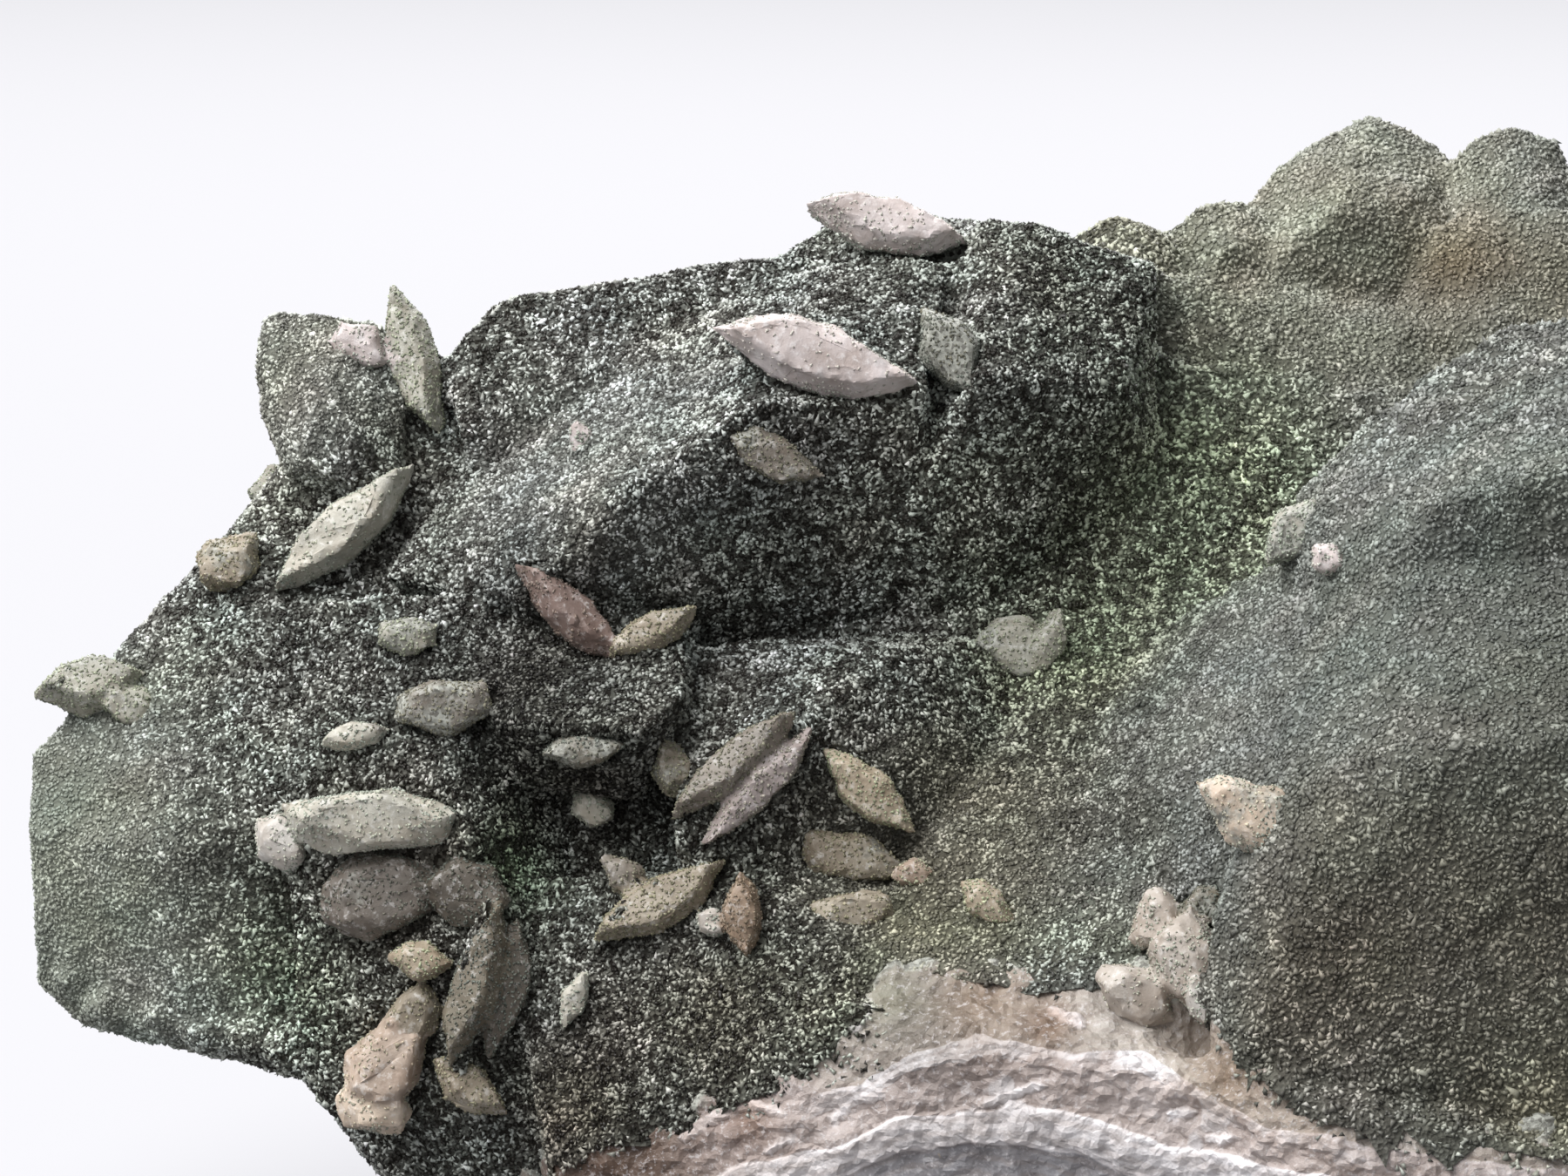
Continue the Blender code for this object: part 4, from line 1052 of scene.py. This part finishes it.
def own_map(mesh, count, faces_each):
    """A map for painting that gives each grain a small square of its own."""
    side = math.ceil(math.sqrt(count))
    number = np.arange(count)
    corner = np.stack([number % side, number // side], axis=1) / side
    third = np.array([(0.1, 0.1), (0.9, 0.1), (0.1, 0.9)]) / side
    spots = corner[:, None, None, :] + np.tile(third[None, None], (count, faces_each, 1, 1))
    layer = mesh.uv_layers.new(name="OFBake")
    layer.data.foreach_set("uv", spots.astype(np.float32).ravel())


def in_view(item):
    """1 at the points of an object's mesh that the front view sees, and 0 at the others."""
    surface = surface_tree(item)
    eye = eye_place()
    normals = normals_of(item.data)
    points = points_of(item.data)
    across, up, _ = seen(points)
    share = np.zeros(len(points))
    facing = ((points - np.array(eye)) * normals).sum(axis=1) < 0.0
    framed = (across < VIEW_RIGHT) & (up > VIEW_BOTTOM) & facing
    for index in np.flatnonzero(framed):
        spot = Vector(points[index]) + Vector(normals[index]) * VIEW_STAND_OFF * MM
        share[index] = surface.ray_cast(spot, eye - spot)[0] is None
    first, second = edge_ends(item.data)
    for _ in range(VIEW_MARGIN):
        wider = share.copy()
        np.maximum.at(wider, first, share[second])
        np.maximum.at(wider, second, share[first])
        share = wider
    return share


class QUARTZ_OT_surface(bpy.types.Operator):
    """Make the skin under the grains, in the shape of the crystals"""

    bl_idname = "quartz.surface"
    bl_label = "Crystal surface"

    def execute(self, context):
        coat = context.scene.quartz_coat
        item = copy_of_solid("base")
        even_mesh(item, coat.voxel, 1)
        thin_out(item, SKIN_SHARE)
        mesh = item.data
        points = points_of(mesh)
        relief = noise_at(points, 2.6 * MM, 3) * coat.relief * 1.2
        relief += noise_at(points + 1.0, 0.8 * MM, 2) * coat.relief * 0.8
        reach, _ = growth_reach(points, GROWTHS)
        held = ease(1.15, 0.9, reach)
        relief = relief * (1.0 - held) - held * HELD_DEPTH * MM - SKIN_DEPTH * MM
        relief = np.where(points[:, 2] < SKIN_FOOT * MM, 0.0, relief)
        put_points(mesh, points + normals_of(mesh) * relief[:, None])
        for _ in range(2):
            pull_in_spikes(mesh, SPIKE_HEIGHT * MM)
        points = points_of(mesh)
        add_colour(mesh, "tint_and_painted_light", tint_and_painted_light_of(points))
        add_number(mesh, "even", evenness_of(points))
        add_number(mesh, "bare", bareness(points))
        add_number(mesh, "held", held)
        add_number(mesh, "view", in_view(item))
        base = item.data.copy()
        base.name = BASE
        keep_faces(item, read_number(mesh, "bare") < SKIN_OVERLAP)
        finish_piece(item, "chlorite_skin", skin_material(coat))
        return {"FINISHED"}


class QUARTZ_OT_rim(bpy.types.Operator):
    """Make the pale layered rim and the bare quartz of the foot"""

    bl_idname = "quartz.rim"
    bl_label = "Broken rim"

    def execute(self, context):
        item = copy_of_solid("rim")
        even_mesh(item, RIM_VOXEL * MM, RIM_SOFTNESS)
        points = points_of(item.data)
        low = points[:, 2] < RIM_HIGHEST * MM
        bare = np.full(len(points), WELL_COVERED)
        bare[low] = bareness(points[low])
        broken = low & (bare > -1.0) & (points[:, 2] > BROKEN_FOOT * MM) & (front_share(points) > 0.5)
        item.vertex_groups.new(name="broken face").add(np.flatnonzero(broken).tolist(), 1.0, "REPLACE")
        flatten = item.modifiers.new("flatten", "SMOOTH")
        flatten.factor = FLATTEN_FACTOR
        flatten.iterations = FLATTEN_ROUNDS
        flatten.vertex_group = "broken face"
        apply_modifiers(item)
        keep_faces(item, bare > RIM_OVERLAP)
        mesh = item.data
        points = points_of(mesh)
        bare = bareness(points)
        ragged = noise_at(points, 0.9 * MM, 4)
        rough = strata_of(points) + ragged * 0.25
        lower, upper = LEDGE_STEPS
        step = lower * ease(-1.08, -1.02, rough) - lower * ease(-0.04, 0.02, rough)
        step += upper * ease(0.96, 1.0, rough) - upper * ease(1.97, 2.03, rough) + streaks_of(points) * 0.08
        chipped = noise_at(points + 2.0, 0.28 * MM, 2) * 0.07
        step += ragged * 0.16 - 0.20 * ease(0.2, -0.3, bare) - 0.06 + chipped
        reach, _ = growth_reach(points, GROWTHS)
        held = ease(1.25, 0.9, reach)
        step = np.where(points[:, 2] < RIM_FOOT * MM, 0.0, step * (1.0 - held) - HELD_DEPTH * held)
        put_points(mesh, points + normals_of(mesh) * (step * MM)[:, None])
        thin_out(item, RIM_SHARE)
        mesh = item.data
        points = points_of(mesh)
        across, _, _ = seen(points)
        front = front_share(points)
        patches = noise_at(points, 2.5 * MM, 3)
        add_number(mesh, "brown", np.clip(ease(24.0, 18.0, across) + patches * 0.9 - 0.1, 0.0, 1.0))
        add_number(mesh, "left", ease(24.6, 22.8, across + patches * 1.2) * front)
        add_number(mesh, "right", ease(35.0, 38.0, across + patches * 2.0) * front)
        add_number(mesh, "streak", streaks_of(points))
        add_colour(mesh, "shade", rim_shade_of(points))
        add_number(mesh, "strata", strata_of(points))
        add_number(mesh, "bare", bareness(points))
        finish_piece(item, "broken_rim", rim_material(context.scene.quartz_rim, GROUPS))
        return {"FINISHED"}


class QUARTZ_OT_blades(bpy.types.Operator):
    """Make the tan blades and lumps that grow on the crystals"""

    bl_idname = "quartz.blades"
    bl_label = "Tan blades"

    def execute(self, context):
        item = new_object("blades", growth_hulls(GROWTHS, GROWTH_SWELL, random.Random(SEED)))
        even_mesh(item, GROWTH_VOXEL * MM, 1)
        keep_faces(item, ~buried(points_of(item.data), SURFACES["solid"]))
        thin_out(item, GROWTH_SHARE)
        mesh = item.data
        points = points_of(mesh)
        rough = noise_at(points, 0.8 * MM, 3) * 0.09 + noise_at(points + 3.0, 0.24 * MM, 2) * 0.05
        put_points(mesh, points + normals_of(mesh) * (rough * MM)[:, None])
        _, number = growth_reach(points, GROWTHS)
        tones, dust = growth_looks(number)
        add_colour(mesh, "tone", tones * (1.0 + 0.25 * noise_at(points, 1.2 * MM, 3))[:, None])
        add_number(mesh, "dust", dust)
        finish_piece(item, "tan_blades", blade_material(GROUPS))
        item.data.shade_smooth()
        item.data.set_sharp_from_angle(angle=math.radians(SHARP_ANGLE))
        return {"FINISHED"}


class QUARTZ_OT_grains(bpy.types.Operator):
    """Sow the chlorite grains on the skin"""

    bl_idname = "quartz.grains"
    bl_label = "Chlorite grains"

    def execute(self, context):
        coat = context.scene.quartz_coat
        chance = np.random.default_rng(SEED)
        base = bpy.data.meshes[BASE]
        material = grain_material(coat)
        across, up, deep = seen(points_of(base))
        covered = ease(1.0, -0.5, read_number(base, "bare")) * (1.0 - read_number(base, "held"))
        front = read_number(base, "view") > 0.5
        right = front & (across > 33.5 + (up - 10.0) * 0.35) & (deep < 3.5)
        back = front & ~right & (deep > 8.8) & (across > 30.0)
        left = front & ~right & ~back & (across < 20.0)
        middle = front & ~right & ~back & ~left
        # Name, where, how far apart, how much tones clump, least evenness and how patchy
        zones = (
            ("grains_left", left, coat.front_gap, CLUMP, 0.0, 0.0),
            ("grains_middle", middle, coat.front_gap, CLUMP, 0.0, 0.0),
            ("grains_right", right, coat.right_gap, 1.4, 0.0, 0.6),
            ("grains_back", back, coat.back_gap, CLUMP, 0.0, 0.0),
            ("grains_hidden", ~front, coat.hidden_gap, CLUMP, 0.35, 0.0),
        )
        for name, zone, gap, clump, least_even, patchy in zones:
            places, out = spots_on(base, chance, gap, covered * zone)
            tint_and_painted_light = tint_and_painted_light_of(places) * (1.0 + patchy * noise_at(places, PATCH_SIZE * MM, 2))[:, None]
            even = np.maximum(evenness_of(places), least_even)
            size = min(gap, LARGEST_GRAIN * MM) * GRAIN_FILL
            grain_piece(name, places, out, size, chance, material, tint_and_painted_light, even, clump)
        return {"FINISHED"}


class QUARTZ_OT_dust(bpy.types.Operator):
    """Sow paler grains on the blades, most of them near the coat"""

    bl_idname = "quartz.dust"
    bl_label = "Grains on the blades"

    def execute(self, context):
        chance = np.random.default_rng(SEED + 1)
        blades = bpy.data.objects["tan_blades"].data
        points = points_of(blades)
        skin = surface_tree(bpy.data.objects["chlorite_skin"])
        near = gap_to(skin, points)
        away = normals_of(blades) @ DEEP
        dust = read_number(blades, "dust")
        spread = noise_at(points, 0.7 * MM, 3)
        share = ease(0.6, 0.1, near) * 1.3 + dust * 0.9 + spread * 0.9 - 0.25 + ease(-0.5, 0.1, away) * 0.3
        share = np.clip(share, 0.05, 1.0)
        _, number = growth_reach(points, GROWTHS)
        share *= np.where(number < len(BLADES) + len(LUMPS), 1.0, HIDDEN_BLADE_GRAINS)
        places, out = spots_on(blades, chance, BLADE_GRAIN_GAP * MM, share)
        _, number = growth_reach(places, GROWTHS)
        tones, amount = growth_looks(number)
        own = tones / BLADE_TONE
        spread = noise_at(places, 0.7 * MM, 3)
        coated = ease(0.6, 0.1, gap_to(skin, places)) * 0.9 + amount * 0.6 + spread * 0.6
        coated = np.clip(coated, 0.0, 1.0)
        dusty = np.clip(tones / DUSTY_TONE, 0.5, 1.1) * np.array((0.97, 1.01, 0.93))
        own = own + (dusty - own) * coated[:, None]
        material = grain_material(context.scene.quartz_coat)
        grain_piece("grains_on_blades", places, out, BLADE_GRAIN_SIZE * MM, chance, material,
                    np.clip(own, 0.2, 2.4), 0.9 - 0.35 * coated, darkest=0.33)
        return {"FINISHED"}


def softbox(name, spot, size, power):
    """A soft light at a spot, with its width and height, turned to the cluster."""
    light = bpy.data.lights.new(name, "AREA")
    light.shape = "RECTANGLE"
    light.size, light.size_y = size
    light.energy = power
    item = bpy.data.objects.new(name, light)
    item.location = spot
    item.rotation_euler = (Vector(LIT_MIDDLE) - Vector(spot)).to_track_quat("-Z", "Y").to_euler()
    bpy.context.scene.collection.objects.link(item)


def split_for_camera(nodes, lit, pictured, output):
    """Gives one shader to the light and another to the picture."""
    blend = nodes.add("MixShader")
    nodes.link(nodes.add("LightPath").outputs["Is Camera Ray"], blend.inputs[0])
    nodes.link(lit.outputs[0], blend.inputs[1])
    nodes.link(pictured.outputs[0], blend.inputs[2])
    nodes.link(blend.outputs[0], nodes.tree.nodes[output].inputs["Surface"])


def floor_finish():
    """Pale matt board: bright to the camera, with a soft shadow, and dim to the light that leaves it."""
    material, nodes, shader = blank_material("pale floor")
    nodes.set(shader, Base_Color=(0.22, 0.22, 0.23), Roughness=0.95, Specular_IOR_Level=0.0)
    glow = nodes.set(nodes.add("Emission"), Color=WALL, Strength=0.68)
    board = nodes.set(nodes.add("BsdfDiffuse"), Color=(0.15, 0.15, 0.155))
    both = nodes.add("AddShader")
    nodes.link(glow.outputs[0], both.inputs[0])
    nodes.link(board.outputs[0], both.inputs[1])
    split_for_camera(nodes, shader, both, "Material Output")
    return material


class QUARTZ_OT_stage(bpy.types.Operator):
    """Set the floor, the lights and the camera"""

    bl_idname = "quartz.stage"
    bl_label = "Studio"

    def execute(self, context):
        settings = context.scene.quartz_stage
        bpy.ops.mesh.primitive_circle_add(vertices=96, radius=FLOOR_RADIUS, fill_type="NGON",
                                          location=(0.0, 0.0, 0.0))
        board = bpy.context.active_object
        board.name = "floor"
        board.data.materials.append(floor_finish())
        softbox("top light", (-0.15, -0.09, 0.26), (0.30, 0.30), settings.key)
        softbox("front light", (-0.10, -0.34, 0.12), (0.24, 0.18), settings.fill)
        softbox("back light", (0.05, 0.28, 0.20), (0.36, 0.20), settings.back)
        world = bpy.data.worlds.new("studio")
        context.scene.world = world
        world.use_nodes = True
        nodes = Nodes(world.node_tree)
        room = world.node_tree.nodes["Background"]
        nodes.set(room, Color=(0.95, 0.97, 1.0), Strength=settings.sky)
        wall = nodes.set(nodes.add("Background"), Color=WALL, Strength=1.0)
        split_for_camera(nodes, room, wall, "World Output")
        context.scene.view_settings.view_transform = "Standard"
        camera = bpy.data.cameras.new("front view")
        camera.sensor_width = 36.0
        camera.lens = camera.sensor_width * EYE_DISTANCE / FRAME_WIDTH
        camera.clip_start = 0.01
        camera.clip_end = 10.0
        eye = new_object("front view", camera)
        eye.location = eye_place()
        eye.rotation_euler = Vector(DEEP).to_track_quat("-Z", "Y").to_euler()
        context.scene.camera = eye
        return {"FINISHED"}


class QUARTZ_PT_panel(bpy.types.Panel):
    """Lists the steps of the build"""

    bl_label = "Chlorite coated quartz"
    bl_idname = "QUARTZ_PT_panel"
    bl_space_type = "VIEW_3D"
    bl_region_type = "UI"
    bl_category = "Quartz"

    def draw(self, context):
        for name, kind in SETTINGS.items():
            box = self.layout.box()
            for entry in kind.__annotations__:
                box.prop(getattr(context.scene, name), entry)
        for step in STEPS:
            self.layout.operator(step.bl_idname)


STEPS = (QUARTZ_OT_surface, QUARTZ_OT_rim, QUARTZ_OT_blades, QUARTZ_OT_grains, QUARTZ_OT_dust,
         QUARTZ_OT_stage)
SETTINGS = {"quartz_coat": CoatSettings, "quartz_rim": RimSettings, "quartz_stage": StageSettings}
GROUPS = {}
SURFACES = {}
GROWTHS = []


def register():
    for kind in (*SETTINGS.values(), *STEPS, QUARTZ_PT_panel):
        bpy.utils.register_class(kind)
    for name, kind in SETTINGS.items():
        setattr(bpy.types.Scene, name, bpy.props.PointerProperty(type=kind))


def unregister():
    for name in SETTINGS:
        delattr(bpy.types.Scene, name)
    for kind in reversed((*SETTINGS.values(), *STEPS, QUARTZ_PT_panel)):
        bpy.utils.unregister_class(kind)


def main():
    register()
    GROUPS["mottle"] = mottle_group()
    GROUPS["dust"] = dust_group()
    SURFACES["solid"] = surface_tree(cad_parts[CLUSTER])
    GROWTHS.extend(all_growths())
    for name in ("surface", "rim", "blades", "grains", "dust", "stage"):
        getattr(bpy.ops.quartz, name)()


if __name__ == "__main__":
    main()
